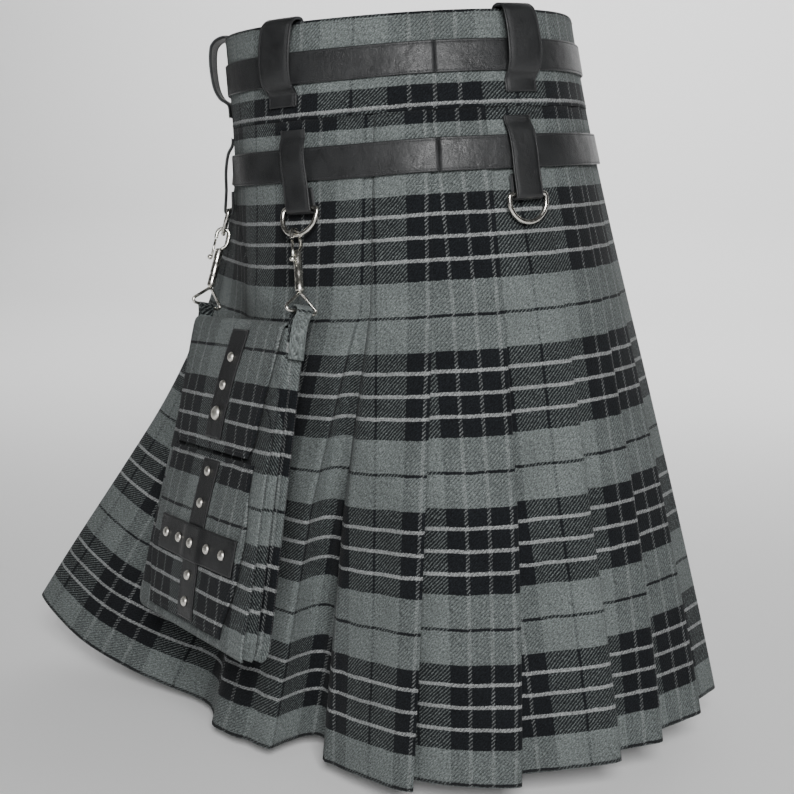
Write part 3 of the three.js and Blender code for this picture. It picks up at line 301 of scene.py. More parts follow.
def cloth_grid(columns_at, downs, spread):
    """Rows of points from sparse columns, eased between the sharp ones. columns_at gives each
    row's (azimuth, inset, sharp) columns and its warp, and spread the points in each gap."""
    rows, warps = [], []
    for down in downs:
        columns, warp_at = columns_at(down)
        turn = np.array([c[0] for c in columns], float)
        inset = np.array([c[1] for c in columns], float)
        sharp = [c[2] for c in columns]
        azimuths, insets = [turn[0]], [inset[0]]
        slopes = np.diff(inset) / np.maximum(1e-6, np.abs(np.diff(turn)))
        for i in range(len(columns) - 1):
            lead = slopes[i] if (sharp[i] or i == 0) else (slopes[i - 1] + slopes[i]) / 2
            last = i == len(columns) - 2
            tail = slopes[i] if (sharp[i + 1] or last) else (slopes[i] + slopes[i + 1]) / 2
            width = abs(turn[i + 1] - turn[i])
            for k in range(1, spread + 1):
                t = k / spread
                azimuths.append(turn[i] + (turn[i + 1] - turn[i]) * t)
                eased = inset[i] * (2 * t**3 - 3 * t**2 + 1) + inset[i + 1] * (3 * t**2 - 2 * t**3)
                insets.append(eased + width * (lead * (t**3 - 2 * t**2 + t) + tail * (t**3 - t**2)))
        azimuths, insets = np.array(azimuths), np.array(insets)
        raised = crease_height(azimuths, down)
        rows.append(form_point(azimuths, np.full(len(azimuths), down), insets - raised))
        warps.append(warp_at(azimuths, insets))
    return np.array(rows), np.array(warps)


def shell_mesh(name, points, warp, weft, thickness, material, gaps=None, edge=None):
    """A thin sheet on a grid of points in millimetres. The check runs on warp and weft, in
    millimetres of cloth; gaps gives the warp at both ends of each gap where it jumps."""
    rows, columns = points.shape[:2]
    mesh = bpy.data.meshes.new(name)
    faces = []
    for r in range(rows - 1):
        for c in range(columns - 1):
            a = r * columns + c
            faces.append((a, a + columns, a + columns + 1, a + 1))
    mesh.from_pydata((points.reshape(-1, 3) * MM).tolist(), [], faces)
    layer = mesh.uv_layers.new(name="cut")
    weft = np.repeat(np.asarray(weft, float)[:, None], columns, axis=1)
    left = warp[:, :-1] if gaps is None else gaps[0]
    right = warp[:, 1:] if gaps is None else gaps[1]
    corners = np.empty((rows - 1, columns - 1, 4, 2))
    corners[:, :, 0, 0], corners[:, :, 1, 0] = left[:-1], left[1:]
    corners[:, :, 2, 0], corners[:, :, 3, 0] = right[1:], right[:-1]
    corners[:, :, 0, 1], corners[:, :, 1, 1] = weft[:-1, :-1], weft[1:, :-1]
    corners[:, :, 2, 1], corners[:, :, 3, 1] = weft[1:, 1:], weft[:-1, 1:]
    layer.data.foreach_set("uv", (corners * MM).ravel())
    mesh.polygons.foreach_set("use_smooth", [True] * len(faces))
    mesh.materials.append(material)
    if edge:
        mesh.materials.append(edge)
    piece = bpy.data.objects.new(name, mesh)
    bpy.context.scene.collection.objects.link(piece)
    if thickness:
        solidify = piece.modifiers.new("thickness", "SOLIDIFY")
        solidify.thickness = thickness * MM
        solidify.offset = -1
        solidify.material_offset_rim = 1 if edge else 0
        bake(piece)
    return piece


def bake(piece):
    bpy.context.view_layer.update()
    graph = bpy.context.evaluated_depsgraph_get()
    evaluated = piece.evaluated_get(graph)
    baked = bpy.data.meshes.new_from_object(evaluated, preserve_all_data_layers=True, depsgraph=graph)
    piece.modifiers.clear()
    piece.data = baked
    baked.name = piece.name


class Shader:
    """Adds and links nodes of one material."""

    def __init__(self, name):
        self.material = bpy.data.materials.new(name)
        self.material.use_nodes = True
        self.tree = self.material.node_tree
        self.surface = self.tree.nodes["Principled BSDF"]

    def add(self, kind, inputs=(), **settings):
        node = self.tree.nodes.new(kind)
        for key, value in settings.items():
            setattr(node, key, value)
        for key, value in dict(inputs).items():
            if isinstance(value, bpy.types.NodeSocket):
                self.tree.links.new(value, node.inputs[key])
            else:
                node.inputs[key].default_value = value
        return node

    def maths(self, operation, first, second=0.0, third=0.0):
        node = self.add("ShaderNodeMath", {0: first, 1: second, 2: third}, operation=operation)
        return node.outputs[0]

    def mix(self, factor, first, second, blend="MIX"):
        node = self.add("ShaderNodeMix", data_type="RGBA", blend_type=blend)
        for socket, value in ((node.inputs[0], factor), (node.inputs[6], first), (node.inputs[7], second)):
            if isinstance(value, bpy.types.NodeSocket):
                self.tree.links.new(value, socket)
            else:
                socket.default_value = value
        return node.outputs[2]

    def ramp(self, factor, stops, interpolation="LINEAR"):
        node = self.add("ShaderNodeValToRGB", {0: factor})
        node.color_ramp.interpolation = interpolation
        elements = node.color_ramp.elements
        for i, (place, colour) in enumerate(stops):
            element = elements[i] if i < 2 else elements.new(place)
            element.position = place
            element.color = (*colour, 1)
        return node.outputs[0]

    def link(self, output, socket):
        self.tree.links.new(output, self.surface.inputs[socket])


BLACK_YARN = (0.009, 0.0105, 0.0125)
GREY_YARN = (0.150, 0.168, 0.165)
LIGHT_WEFT = (0.30, 0.31, 0.31)
LIGHT_WARP = (0.20, 0.21, 0.21)
DARK_LINE = (0.0105, 0.012, 0.014)
SETT = 124.3
TWILL_PITCH = 3.2
THREAD_PITCH = 0.85
WARP_LEAST = 0.03
WARP_MOST = 0.7


def sett_stops(light):
    """One repeat of the check: a black block with three light lines, then a grey block with
    one dark line."""
    light_line, dark_line, grey_half = 2.7, 2.3, 27.0
    widths = [
        (14.4, BLACK_YARN), (light_line, light), (15.3, BLACK_YARN), (light_line, light),
        (15.3, BLACK_YARN), (light_line, light), (14.9, BLACK_YARN),
        (grey_half, GREY_YARN), (dark_line, DARK_LINE), (grey_half, GREY_YARN),
    ]
    stops, place = [], 0.0
    for width, colour in widths:
        stops.append((place / SETT, colour))
        place += width
    return stops


def checked_wool():
    s = Shader("checked_wool_twill")
    cut = s.add("ShaderNodeUVMap", uv_map="cut").outputs[0]
    fuzz = s.add("ShaderNodeTexNoise", {"Vector": cut, "Scale": 900.0, "Detail": 3.0, "Roughness": 0.7})
    waver = s.add("ShaderNodeTexNoise", {"Vector": cut, "Scale": 60.0, "Detail": 2.0})
    parts = s.add("ShaderNodeSeparateXYZ", {0: cut})
    jitter = s.maths("MULTIPLY", s.maths("SUBTRACT", fuzz.outputs[0], 0.5), 0.0022)
    sway = s.maths("MULTIPLY", s.maths("SUBTRACT", waver.outputs[0], 0.5), 0.0016)
    u = s.maths("ADD", s.maths("ADD", parts.outputs[0], jitter), sway)
    v = s.maths("ADD", s.maths("ADD", parts.outputs[1], jitter), sway)
    repeat = SETT * MM
    warp = s.ramp(s.maths("FRACT", s.maths("DIVIDE", u, repeat)), sett_stops(LIGHT_WARP), "CONSTANT")
    weft = s.ramp(s.maths("FRACT", s.maths("DIVIDE", v, repeat)), sett_stops(LIGHT_WEFT), "CONSTANT")
    diagonal = s.maths("FRACT", s.maths("DIVIDE", s.maths("ADD", u, v), TWILL_PITCH * MM))
    wave = s.maths("ABSOLUTE", s.maths("SUBTRACT", diagonal, 0.5))
    shows = s.add("ShaderNodeMapRange", {0: wave, 1: 0.25, 2: 0.44, 3: WARP_LEAST, 4: WARP_MOST},
                  interpolation_type="SMOOTHSTEP").outputs[0]
    cloth = s.mix(shows, weft, warp)
    thread_u = s.maths("SINE", s.maths("MULTIPLY", u, 2 * math.pi / (THREAD_PITCH * MM)))
    thread_v = s.maths("SINE", s.maths("MULTIPLY", v, 2 * math.pi / (THREAD_PITCH * MM)))
    threads = s.maths("ADD", s.maths("MULTIPLY", thread_u, 0.5), s.maths("MULTIPLY", thread_v, 0.5))
    # groove darkens the colour along the twill's diagonal grooves, and threads darkens it a little between
    # the threads: painted shade in the weave's recesses, on top of the bump that follows the same lines.
    groove = s.maths("SUBTRACT", 1.0, s.maths("MULTIPLY", s.maths("SUBTRACT", 0.5, wave), 0.5))
    speckle = s.add("ShaderNodeMapRange", {0: fuzz.outputs[0], 1: 0.3, 2: 0.7, 3: 0.4, 4: 1.6}).outputs[0]
    across = s.maths("ADD", u, v)
    along = s.maths("MULTIPLY", s.maths("SUBTRACT", u, v), 0.3)
    slant = s.add("ShaderNodeCombineXYZ", {0: across, 1: along}).outputs[0]
    yarns = s.add("ShaderNodeTexNoise", {"Vector": slant, "Scale": 800.0, "Detail": 2.0})
    flecks = s.add("ShaderNodeMapRange", {0: yarns.outputs[0], 1: 0.3, 2: 0.7, 3: 0.55, 4: 1.5}).outputs[0]
    speckle = s.maths("MULTIPLY", speckle, flecks)
    # The speckle is the yarn's own flecked tone; the groove and thread terms are painted shade.
    speckle_and_painted_shade = s.maths("MULTIPLY", speckle, s.maths("ADD", groove, s.maths("MULTIPLY", threads, 0.08)))
    shaded = s.add("ShaderNodeVectorMath", {0: cloth}, operation="SCALE")
    s.tree.links.new(speckle_and_painted_shade, shaded.inputs["Scale"])
    wash = s.add("ShaderNodeTexNoise", {"Vector": cut, "Scale": 22.0, "Detail": 3.0})
    washed = s.add("ShaderNodeMapRange", {0: wash.outputs[0], 1: 0.3, 2: 0.7, 3: 0.86, 4: 1.12}).outputs[0]
    final = s.add("ShaderNodeVectorMath", {0: shaded.outputs[0]}, operation="SCALE")
    s.tree.links.new(washed, final.inputs["Scale"])
    s.link(final.outputs[0], "Base Color")
    height = s.maths("ADD", s.maths("MULTIPLY", wave, 1.2), s.maths("MULTIPLY", threads, 0.25))
    height = s.maths("ADD", height, s.maths("MULTIPLY", fuzz.outputs[0], 0.5))
    bump = s.add("ShaderNodeBump", {"Strength": 0.55, "Distance": 0.0005, "Height": height})
    s.link(bump.outputs[0], "Normal")
    s.surface.inputs["Roughness"].default_value = 0.92
    s.surface.inputs["Specular IOR Level"].default_value = 0.15
    s.surface.inputs["Sheen Weight"].default_value = 0.05
    s.surface.inputs["Sheen Roughness"].default_value = 0.5
    return s.material


CLOTH = checked_wool()
WEFT_START = 20.5
SEWN_ROWS = np.linspace(BAND_DEPTH + SEAM, FELL_END, 25)
FREE_ROWS = np.linspace(FELL_END, CLOTH_LENGTH, 56)
CLOTH_ROWS = np.unique(np.concatenate([SEWN_ROWS, FREE_ROWS]))


def sheet_cut(points):
    """The flat size and area of a grid of points, in metres."""
    across = np.linalg.norm(np.diff(points, axis=1), axis=-1)
    along = np.linalg.norm(np.diff(points, axis=0), axis=-1)
    width, length = across.sum(axis=1).max(), along.sum(axis=0).max()
    cells = (across[:-1] + across[1:]) / 2 * (along[:, :-1] + along[:, 1:]) / 2
    area = min(cells.sum(), 0.999 * width * length)
    return (width * MM, length * MM), area * MM * MM


APRON_CLOTH = 1.3
APRON_SPREAD = (0, 0.045, 0.1, 0.17, 0.26, 0.37, 0.5, 0.65, 0.82, 1)
APRON_WARP_WIDTH = 266.0
APRON_WARP_START = 217.5


def apron_columns(down):
    edge, hollow = along_cloth(APRON_EDGE, down), along_cloth(HOLLOW, down)
    depth = pleat_depth(HOLLOW_DEPTH, down)
    columns = [(-edge * part, 0, False) for part in APRON_SPREAD[:0:-1]]
    columns += [(edge * part, 0, False) for part in APRON_SPREAD]
    columns[-1] = (edge, 0, True)
    columns += [(edge + part * (hollow - edge), share * depth, False) for part, share in HOLLOW_SLOPE]
    columns.append((hollow, depth, True))
    edge_arc = float(arc_length(edge, down))

    def warp_at(azimuths, insets):
        arcs = arc_length(azimuths, down)
        inside = arcs * APRON_WARP_WIDTH / edge_arc
        past = APRON_WARP_WIDTH + np.hypot(arcs - edge_arc, insets)
        return np.where(azimuths <= edge, inside, past) - APRON_WARP_WIDTH + APRON_WARP_START

    return columns, warp_at


apron_points, apron_warp = cloth_grid(apron_columns, CLOTH_ROWS, 6)
apron_weft = CLOTH_ROWS - WEFT_START
apron = shell_mesh("front_apron_cloth", apron_points, apron_warp, apron_weft, APRON_CLOTH, CLOTH)
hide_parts("front_apron")
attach(apron, "kilt")
apron_flat, apron_area = sheet_cut(apron_points)


# The knife pleats round the back.
# Two panels of the same cloth, joined at centre back. Each pleat's fold lies over the next one;
# they are sewn down as far as the fell and open below it.
PLEATS = [
    {"turns": (114, 113, 110.2, 107.4), "depth": 24, "warp": 20.0},
    {"turns": (130, 129.8, 128.8, 126.4), "depth": 24, "warp": 57.4},
    {"turns": (146, 146, 145.2, 146), "depth": 22, "warp": 124.0},
    {"turns": (161, 160.5, 158.6, 156.2), "depth": 20, "warp": 35.0},
    {"turns": (173, 172.5, 171, 169), "depth": 19, "warp": 43.0},
    {"turns": (184, 183.5, 181.5, 179.5), "depth": 19, "warp": 98.0},
    {"turns": (197, 196.5, 194, 192), "depth": 23, "warp": 20.0},
    {"turns": (211, 210.5, 208, 205.5), "depth": 25, "warp": 55.0},
    {"turns": (226, 225.5, 222.5, 220), "depth": 22, "warp": 110.0},
    {"turns": (241, 240.5, 239, 238), "depth": 26, "warp": 30.0},
    {"turns": (254, 253.5, 253, 254.5), "depth": 22, "warp": 66.0},
]
# Across a pleat, and across the inverted pleat's back wall: the part of the width, the share of
# the depth, and the lift towards the hem
PLEAT_SLOPE = ((0, 1, 0), (0.22, 0.74, 0.6), (0.5, 0.42, 1), (0.78, 0.15, 0.6))
HOLLOW_WALL = ((0, 1, 0), (0.06, 0.5, 0), (0.28, 0.26, 0), (0.66, 0.1, 0.6))
PLEAT_SPLIT = 6
UNDERCUT = 14
FOLD_TIP = 2.2
PLEAT_CLOTH = 1.1
UNDERLAP_WARP = 90.0
# Across the underlap: the part of its width, the share of the last pleat's depth, the least inset
UNDERLAP = ((0.45, 0.6, 0.5), (0.8, 0.35, 3), (1, 0.3, 4.8))
UNDERLAP_END = {"turn": 7, "share": 0.3, "least": 5.8}
PLEAT_SIDE = 120.0
PLEAT_LIFT = 3
FOLD_INSET = {"sewn": 0.35, "free": 0.5}


def pleat_columns(first, last, with_underlap):
    def columns_at(down):
        radius = float(np.linalg.norm(form_point(PLEAT_SIDE, down)[:2]))
        undercut = math.degrees(UNDERCUT * opening(down) / radius)
        tip = math.degrees(FOLD_TIP / radius)
        flatten = PLEAT_LIFT * opening(down)
        columns = []
        for k in range(first, last):
            before = HOLLOW if k == 0 else PLEATS[k - 1]["turns"]
            start_depth = pleat_depth(HOLLOW_DEPTH if k == 0 else PLEATS[k - 1]["depth"], down)
            start = along_cloth(before, down) - (0 if k == 0 else undercut)
            edge = along_cloth(PLEATS[k]["turns"], down)
            for part, share, lift in HOLLOW_WALL if k == 0 else PLEAT_SLOPE:
                inset = share * start_depth + lift * flatten
                columns.append((start + (edge - start) * part, inset, part == 0))
            columns.append((edge - tip, 0, False))
            columns.append((edge, FOLD_INSET["sewn"] + FOLD_INSET["free"] * opening(down), True))
        end_depth = pleat_depth(PLEATS[last - 1]["depth"], down)
        end = along_cloth(PLEATS[last - 1]["turns"], down) - undercut
        columns.append((end, end_depth, True))
        if with_underlap:
            edge = 360 - along_cloth(APRON_EDGE, down)
            for part, share, least in UNDERLAP:
                columns.append((end + (edge - end) * part, max(share * end_depth, least), False))
            tucked = max(UNDERLAP_END["share"] * end_depth, UNDERLAP_END["least"])
            columns.append((edge + UNDERLAP_END["turn"], tucked, False))
        step = math.degrees(2 * SEAM / radius)
        columns[0] = (columns[0][0] + step, columns[0][1], columns[0][2])
        return columns, lambda azimuths, insets: azimuths

    return columns_at


PLEAT_GAPS = 6
PLEAT_POINTS = 5


def panel_warp(points, turns, first, last):
    """The warp at both ends of every gap: on each panel it is measured back from the fold."""
    rows, columns = turns.shape
    left, right = np.zeros((rows, columns - 1)), np.zeros((rows, columns - 1))
    spans = np.linalg.norm(np.diff(points, axis=1), axis=-1)
    for k in range(first, last + 1):
        lower = (k - first) * PLEAT_GAPS * PLEAT_POINTS
        upper = min(lower + PLEAT_GAPS * PLEAT_POINTS, columns - 1)
        fold = min(lower + (PLEAT_GAPS - 1) * PLEAT_POINTS, upper)
        start = PLEATS[k]["warp"] if k < len(PLEATS) else UNDERLAP_WARP
        run = np.concatenate([np.zeros((rows, 1)), np.cumsum(spans[:, lower:upper], axis=1)], axis=1)
        run = run - run[:, [fold - lower]] + start
        left[:, lower:upper], right[:, lower:upper] = run[:, :-1], run[:, 1:]
        if upper == columns - 1:
            break
    return left, right


PANELS = (("pleats_left", 0, PLEAT_SPLIT, False), ("pleats_right", PLEAT_SPLIT, len(PLEATS), True))
for name, first, last, underlap in PANELS:
    pleat_points, pleat_turns = cloth_grid(pleat_columns(first, last, underlap), CLOTH_ROWS, PLEAT_POINTS)
    gaps = panel_warp(pleat_points, pleat_turns, first, last)
    pleat_weft = CLOTH_ROWS - WEFT_START
    pleats = shell_mesh(name + "_cloth", pleat_points, None, pleat_weft, PLEAT_CLOTH, CLOTH, gaps)
    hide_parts(name)
    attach(pleats, "kilt")
    pleat_flat, pleat_area = sheet_cut(pleat_points)


# The under apron.
# The wrap's inner end, a plain panel of the same cloth that hangs inside the front from the
# waist to the hem.
UNDER_LEFT = (74, 72, 62, 54)
UNDER_SPREAD = (0, 0.1, 0.2, 0.3, 0.38, 0.45, 0.5, 0.56, 0.62, 0.7, 0.8, 0.9, 1)
UNDER_GAP = 5.8
UNDER_TUCK = 8.5
UNDER_FLARE = 4
UNDER_FRONT = {"half_angle": 40, "at_waist": 4, "to_hem": 40}
UNDER_HEM_RISE = 8


def under_columns(down):
    right = -along_cloth(APRON_EDGE, down) + UNDER_TUCK
    left = along_cloth(UNDER_LEFT, down)
    columns = []
    for part in UNDER_SPREAD:
        azimuth = right + (left - right) * part
        front = max(0.0, 1 - abs(azimuth) / UNDER_FRONT["half_angle"])
        front_gap = (UNDER_FRONT["at_waist"] + UNDER_FRONT["to_hem"] * opening(down)) * front
        columns.append((azimuth, UNDER_GAP + UNDER_FLARE * opening(down) + front_gap, False))
    return columns, lambda azimuths, insets: arc_length(azimuths, down)


under_downs = np.linspace(0, CLOTH_LENGTH - UNDER_HEM_RISE, 60)
under_points, under_warp = cloth_grid(under_columns, under_downs, 4)
under_weft = under_downs - WEFT_START
under = shell_mesh("under_apron_cloth", under_points, under_warp, under_weft, APRON_CLOTH, CLOTH)
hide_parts("under_apron")
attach(under, "kilt")
under_flat, under_area = sheet_cut(under_points)


# The waistband.
# A stiffened band of the same cloth with its own check line, in two pieces joined at the left
# hip; its top edge is turned over and topstitched.
SEAM_AZIMUTH = 116
WAIST_DARK_LINE = 226.8
BAND_WEFT_START = 58
BAND_TURN = 2.0
BAND_ROUNDING = 0.8
BAND_CLOTH = 1.8
BAND_WARP_START = 96.2
band_downs = np.array([0, 0.4, 1.2, 3, 6, 10, 16, 22, 30, 38, 46, 52, 58, 64, 70, 74, BAND_DEPTH])


def band_points(turns, inset_at):
    rows = []
    for down in band_downs:
        rounded = BAND_ROUNDING * max(0.0, 1 - down / BAND_TURN) ** 2
        rows.append(form_point(turns, np.full(len(turns), down), inset_at + rounded))
    return np.array(rows)


def band_piece(name, node, turns, inset_at):
    points = band_points(turns, inset_at)
    warp = np.array([arc_length(turns, 0.0) - WAIST_DARK_LINE + BAND_WARP_START for _ in band_downs])
    band = shell_mesh(name, points, warp, band_downs - BAND_WEFT_START, BAND_CLOTH, CLOTH)
    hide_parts(node)
    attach(band, "kilt")
    flat, area = sheet_cut(points)


front_turns = np.linspace(-APRON_EDGE[0], SEAM_AZIMUTH, 150)
back_end = 360 - APRON_EDGE[0]
# The back's first two columns lie under the front's end
tucked_turns = [SEAM_AZIMUTH - 1.2, SEAM_AZIMUTH - 0.1]
tucked_insets = (2.2, 1.0)
back_turns = np.concatenate([tucked_turns, np.linspace(SEAM_AZIMUTH + 0.1, back_end + 7, 120)])
ease_start, ease_width = back_end - 9, 8
under_ease = np.clip((back_turns - ease_start) / ease_width, 0, 1)
under_ease = UNDER_GAP * under_ease**2 * (3 - 2 * under_ease)
under_ease[:2] = tucked_insets
band_piece("waistband_front_cloth", "waistband_front", front_turns, np.zeros(len(front_turns)))
band_piece("waistband_back_cloth", "waistband_back", back_turns, under_ease)


# The two leather straps.
# Smooth black leather 26 and 27 mm wide, sewn flat round the waistband and round the fell with a row
# of stitches along each edge. They close past the apron's free edge on dome studs.
LEATHER = 1.8
STRAPS = {
    "upper": {"top": 24, "bottom": 50, "out": 0.5},
    "lower": {"top": 101, "bottom": 128, "out": 0.8},
}
TAB_END = -104
STRAP_SEAM_GAP = 0.03
STRAP_END_GAP = 0.8
SEWN_FROM_EDGE = 1.8
EDGE_ROWS = (
    0, 0.012, 0.03, 0.05, 0.068, 0.086, 0.11, 0.2, 0.35, 0.5,
    0.65, 0.8, 0.89, 0.914, 0.932, 0.95, 0.97, 0.988, 1,
)
STITCH_GROOVE = {"from_edge": 0.068, "half_width": 0.03, "depth": 0.3}


STRAP_ROUNDING = {"reach": 0.04, "drop": 0.55}


def edge_drop(part):
    """How far the strap's face drops at its rounded edge and in its stitch groove."""
    from_edge = min(part, 1 - part)
    groove = max(0.0, 1 - abs(from_edge - STITCH_GROOVE["from_edge"]) / STITCH_GROOVE["half_width"])
    rounding = max(0.0, 1 - from_edge / STRAP_ROUNDING["reach"]) ** 2
    return STRAP_ROUNDING["drop"] * rounding + STITCH_GROOVE["depth"] * groove


def black_leather(name, roughness, tone):
    s = Shader(name)
    place = s.add("ShaderNodeTexCoord").outputs["Object"]
    grain = s.add("ShaderNodeTexVoronoi", {"Vector": place, "Scale": 900.0}, feature="DISTANCE_TO_EDGE")
    fine = s.add("ShaderNodeTexNoise", {"Vector": place, "Scale": 1600.0, "Detail": 3.0})
    broad = s.add("ShaderNodeTexNoise", {"Vector": place, "Scale": 38.0, "Detail": 4.0, "Roughness": 0.6})
    dark, pale = (tone, tone * 1.05, tone * 1.12), (tone * 2.1, tone * 2.2, tone * 2.3)
    s.link(s.ramp(broad.outputs[0], [(0.32, dark), (0.72, pale)]), "Base Color")
    spread = {0: broad.outputs[0], 1: 0.3, 2: 0.75, 3: roughness - 0.08, 4: roughness + 0.1}
    gloss = s.add("ShaderNodeMapRange", spread)
    s.link(gloss.outputs[0], "Roughness")
    pores = s.maths("MINIMUM", grain.outputs["Distance"], 0.08)
    height = s.maths("ADD", s.maths("MULTIPLY", pores, 4.0), s.maths("MULTIPLY", fine.outputs[0], 0.3))
    height = s.maths("ADD", height, s.maths("MULTIPLY", broad.outputs[0], 7.0))
    bump = s.add("ShaderNodeBump", {"Strength": 0.4, "Distance": 0.0006, "Height": height})
    s.link(bump.outputs[0], "Normal")
    s.surface.inputs["Specular IOR Level"].default_value = 0.6
    return s.material


STRAP_LEATHER = black_leather("black_strap_leather", 0.42, 0.011)


def thread_material():
    s = Shader("black_thread")
    place = s.add("ShaderNodeTexCoord").outputs["Object"]
    fibre = s.add("ShaderNodeTexNoise", {"Vector": place, "Scale": 4000.0, "Detail": 2.0})
    s.link(s.ramp(fibre.outputs[0], [(0.3, (0.02, 0.02, 0.022)), (0.7, (0.06, 0.06, 0.064))]), "Base Color")
    s.surface.inputs["Roughness"].default_value = 0.7
    return s.material


THREAD = thread_material()


def stitch_group():
    group = bpy.data.node_groups.new("stitch_row", "GeometryNodeTree")
    group.interface.new_socket("Line", in_out="INPUT", socket_type="NodeSocketGeometry")
    for name, value in (("Spacing", 0.004), ("Stitch length", 0.003), ("Thread radius", 0.00035)):
        socket = group.interface.new_socket(name, in_out="INPUT", socket_type="NodeSocketFloat")
        socket.default_value = value
    group.interface.new_socket("Thread", in_out="INPUT", socket_type="NodeSocketMaterial")
    group.interface.new_socket("Stitches", in_out="OUTPUT", socket_type="NodeSocketGeometry")
    nodes, links = group.nodes, group.links
    start = nodes.new("NodeGroupInput")
    end = nodes.new("NodeGroupOutput")
    curve = nodes.new("GeometryNodeMeshToCurve")
    points = nodes.new("GeometryNodeCurveToPoints")
    points.mode = "LENGTH"
    capsule = nodes.new("GeometryNodeMeshIcoSphere")
    capsule.inputs["Subdivisions"].default_value = 1
    capsule.inputs["Radius"].default_value = 1.0
    place = nodes.new("GeometryNodeInstanceOnPoints")
    size = nodes.new("ShaderNodeCombineXYZ")
    half = nodes.new("ShaderNodeMath")
    half.operation = "MULTIPLY"
    half.inputs[1].default_value = 0.5
    realize = nodes.new("GeometryNodeRealizeInstances")
    paint = nodes.new("GeometryNodeSetMaterial")
    links.new(start.outputs["Line"], curve.inputs["Mesh"])
    links.new(curve.outputs[0], points.inputs["Curve"])
    links.new(start.outputs["Spacing"], points.inputs["Length"])
    links.new(start.outputs["Stitch length"], half.inputs[0])
    links.new(start.outputs["Thread radius"], size.inputs[0])
    links.new(start.outputs["Thread radius"], size.inputs[1])
    links.new(half.outputs[0], size.inputs[2])
    links.new(points.outputs["Points"], place.inputs["Points"])
    links.new(points.outputs["Rotation"], place.inputs["Rotation"])
    links.new(capsule.outputs["Mesh"], place.inputs["Instance"])
    links.new(size.outputs[0], place.inputs["Scale"])
    links.new(place.outputs[0], realize.inputs[0])
    links.new(realize.outputs[0], paint.inputs["Geometry"])
    links.new(start.outputs["Thread"], paint.inputs["Material"])
    links.new(paint.outputs[0], end.inputs[0])
    return group


STITCH_ROW = stitch_group()


def stitches(name, lines, spacing, length, radius):
    points, edges = [], []
    for line in lines:
        first = len(points)
        points += [tuple(point) for point in np.asarray(line) * MM]
        edges += [(i, i + 1) for i in range(first, len(points) - 1)]
    mesh = bpy.data.meshes.new(name)
    mesh.from_pydata(points, edges, [])
    piece = bpy.data.objects.new(name, mesh)
    bpy.context.scene.collection.objects.link(piece)
    rows = piece.modifiers.new("stitches", "NODES")
    rows.node_group = STITCH_ROW
    values = {"Spacing": spacing * MM, "Stitch length": length * MM, "Thread radius": radius * MM,
              "Thread": THREAD}
    for item in STITCH_ROW.interface.items_tree:
        if item.in_out == "INPUT" and item.name in values:
            rows[item.identifier] = values[item.name]
    bake(piece)
    for polygon in piece.data.polygons:
        polygon.use_smooth = True
    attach(piece, "kilt")


def strap_points(turns, strap):
    rows = []
    for part in EDGE_ROWS:
        down = strap["top"] + (strap["bottom"] - strap["top"]) * part
        out = strap["out"] + LEATHER - edge_drop(part)
        rows.append(on_form(turns, np.full(len(turns), down), np.full(len(turns), out)))
    return np.array(rows)


def plain_uv(points):
    rows, columns = points.shape[:2]
    warp = np.repeat(np.linspace(0, 1, columns)[None, :], rows, axis=0)
    return warp, np.linspace(0, 1, rows)


for name, strap in STRAPS.items():
    back_start, back_stop = SEAM_AZIMUTH + STRAP_SEAM_GAP, 360 + TAB_END - STRAP_END_GAP
    spans = {"front": np.linspace(TAB_END, SEAM_AZIMUTH, 180),
             "back": np.linspace(back_start, back_stop, 130)}
    for end, turns in spans.items():
        points = strap_points(turns, strap)
        strap_piece = shell_mesh(f"strap_{name}_{end}_leather", points, *plain_uv(points),
                                 LEATHER - 0.1, STRAP_LEATHER)
        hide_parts(f"strap_{name}_{end}")
        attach(strap_piece, "kilt")
        rows = []
        for down in (strap["top"] + SEWN_FROM_EDGE, strap["bottom"] - SEWN_FROM_EDGE):
            outs = np.full(len(turns), strap["out"] + LEATHER - STITCH_GROOVE["depth"] + 0.1)
            rows.append(on_form(turns, np.full(len(turns), down), outs))
        stitches(f"strap_{name}_{end}_stitching", rows, spacing=3.2, length=2.4, radius=0.3)


# The metal: D-rings, swivel hooks and dome studs.
# Bright nickel-plated steel wire and die-cast fittings, with fine scratches and duller patches scattered at
# random.
def nickel_plate(name, dull, bright, least_rough):
    s = Shader(name)
    place = s.add("ShaderNodeTexCoord").outputs["Object"]
    haze = s.add("ShaderNodeTexNoise", {"Vector": place, "Scale": 260.0, "Detail": 4.0})
    fine = s.add("ShaderNodeTexNoise", {"Vector": place, "Scale": 2200.0, "Detail": 2.0})
    s.link(s.ramp(haze.outputs[0], [(0.3, dull), (0.7, bright)]), "Base Color")
    spread = {0: haze.outputs[0], 1: 0.3, 2: 0.7, 3: least_rough, 4: least_rough + 0.16}
    rough = s.add("ShaderNodeMapRange", spread)
    s.link(rough.outputs[0], "Roughness")
    bump = s.add("ShaderNodeBump", {"Strength": 0.08, "Distance": 0.0002, "Height": fine.outputs[0]})
    s.link(bump.outputs[0], "Normal")
    s.surface.inputs["Metallic"].default_value = 1.0
    return s.material


NICKEL = nickel_plate("nickel_plate", (0.62, 0.60, 0.55), (0.86, 0.84, 0.78), 0.16)
DOME_NICKEL = nickel_plate("satin_dome_nickel", (0.80, 0.77, 0.70), (0.92, 0.90, 0.84), 0.34)


def eased_path(points, count, closed=False):
    """A smooth line through points, with count steps between each two."""
    points = np.asarray(points, float)
    total = len(points)
    index = (lambda i: i % total) if closed else (lambda i: min(max(i, 0), total - 1))
    out = []
    for i in range(total if closed else total - 1):
        a, b, c, d = (points[index(i + k)] for k in (-1, 0, 1, 2))
        for k in range(count):
            t = k / count
            square, cube = 2 * a - 5 * b + 4 * c - d, 3 * b - a - 3 * c + d
            out.append((2 * b + (c - a) * t + square * t**2 + cube * t**3) / 2)
    if not closed:
        out.append(points[-1])
    return np.array(out)


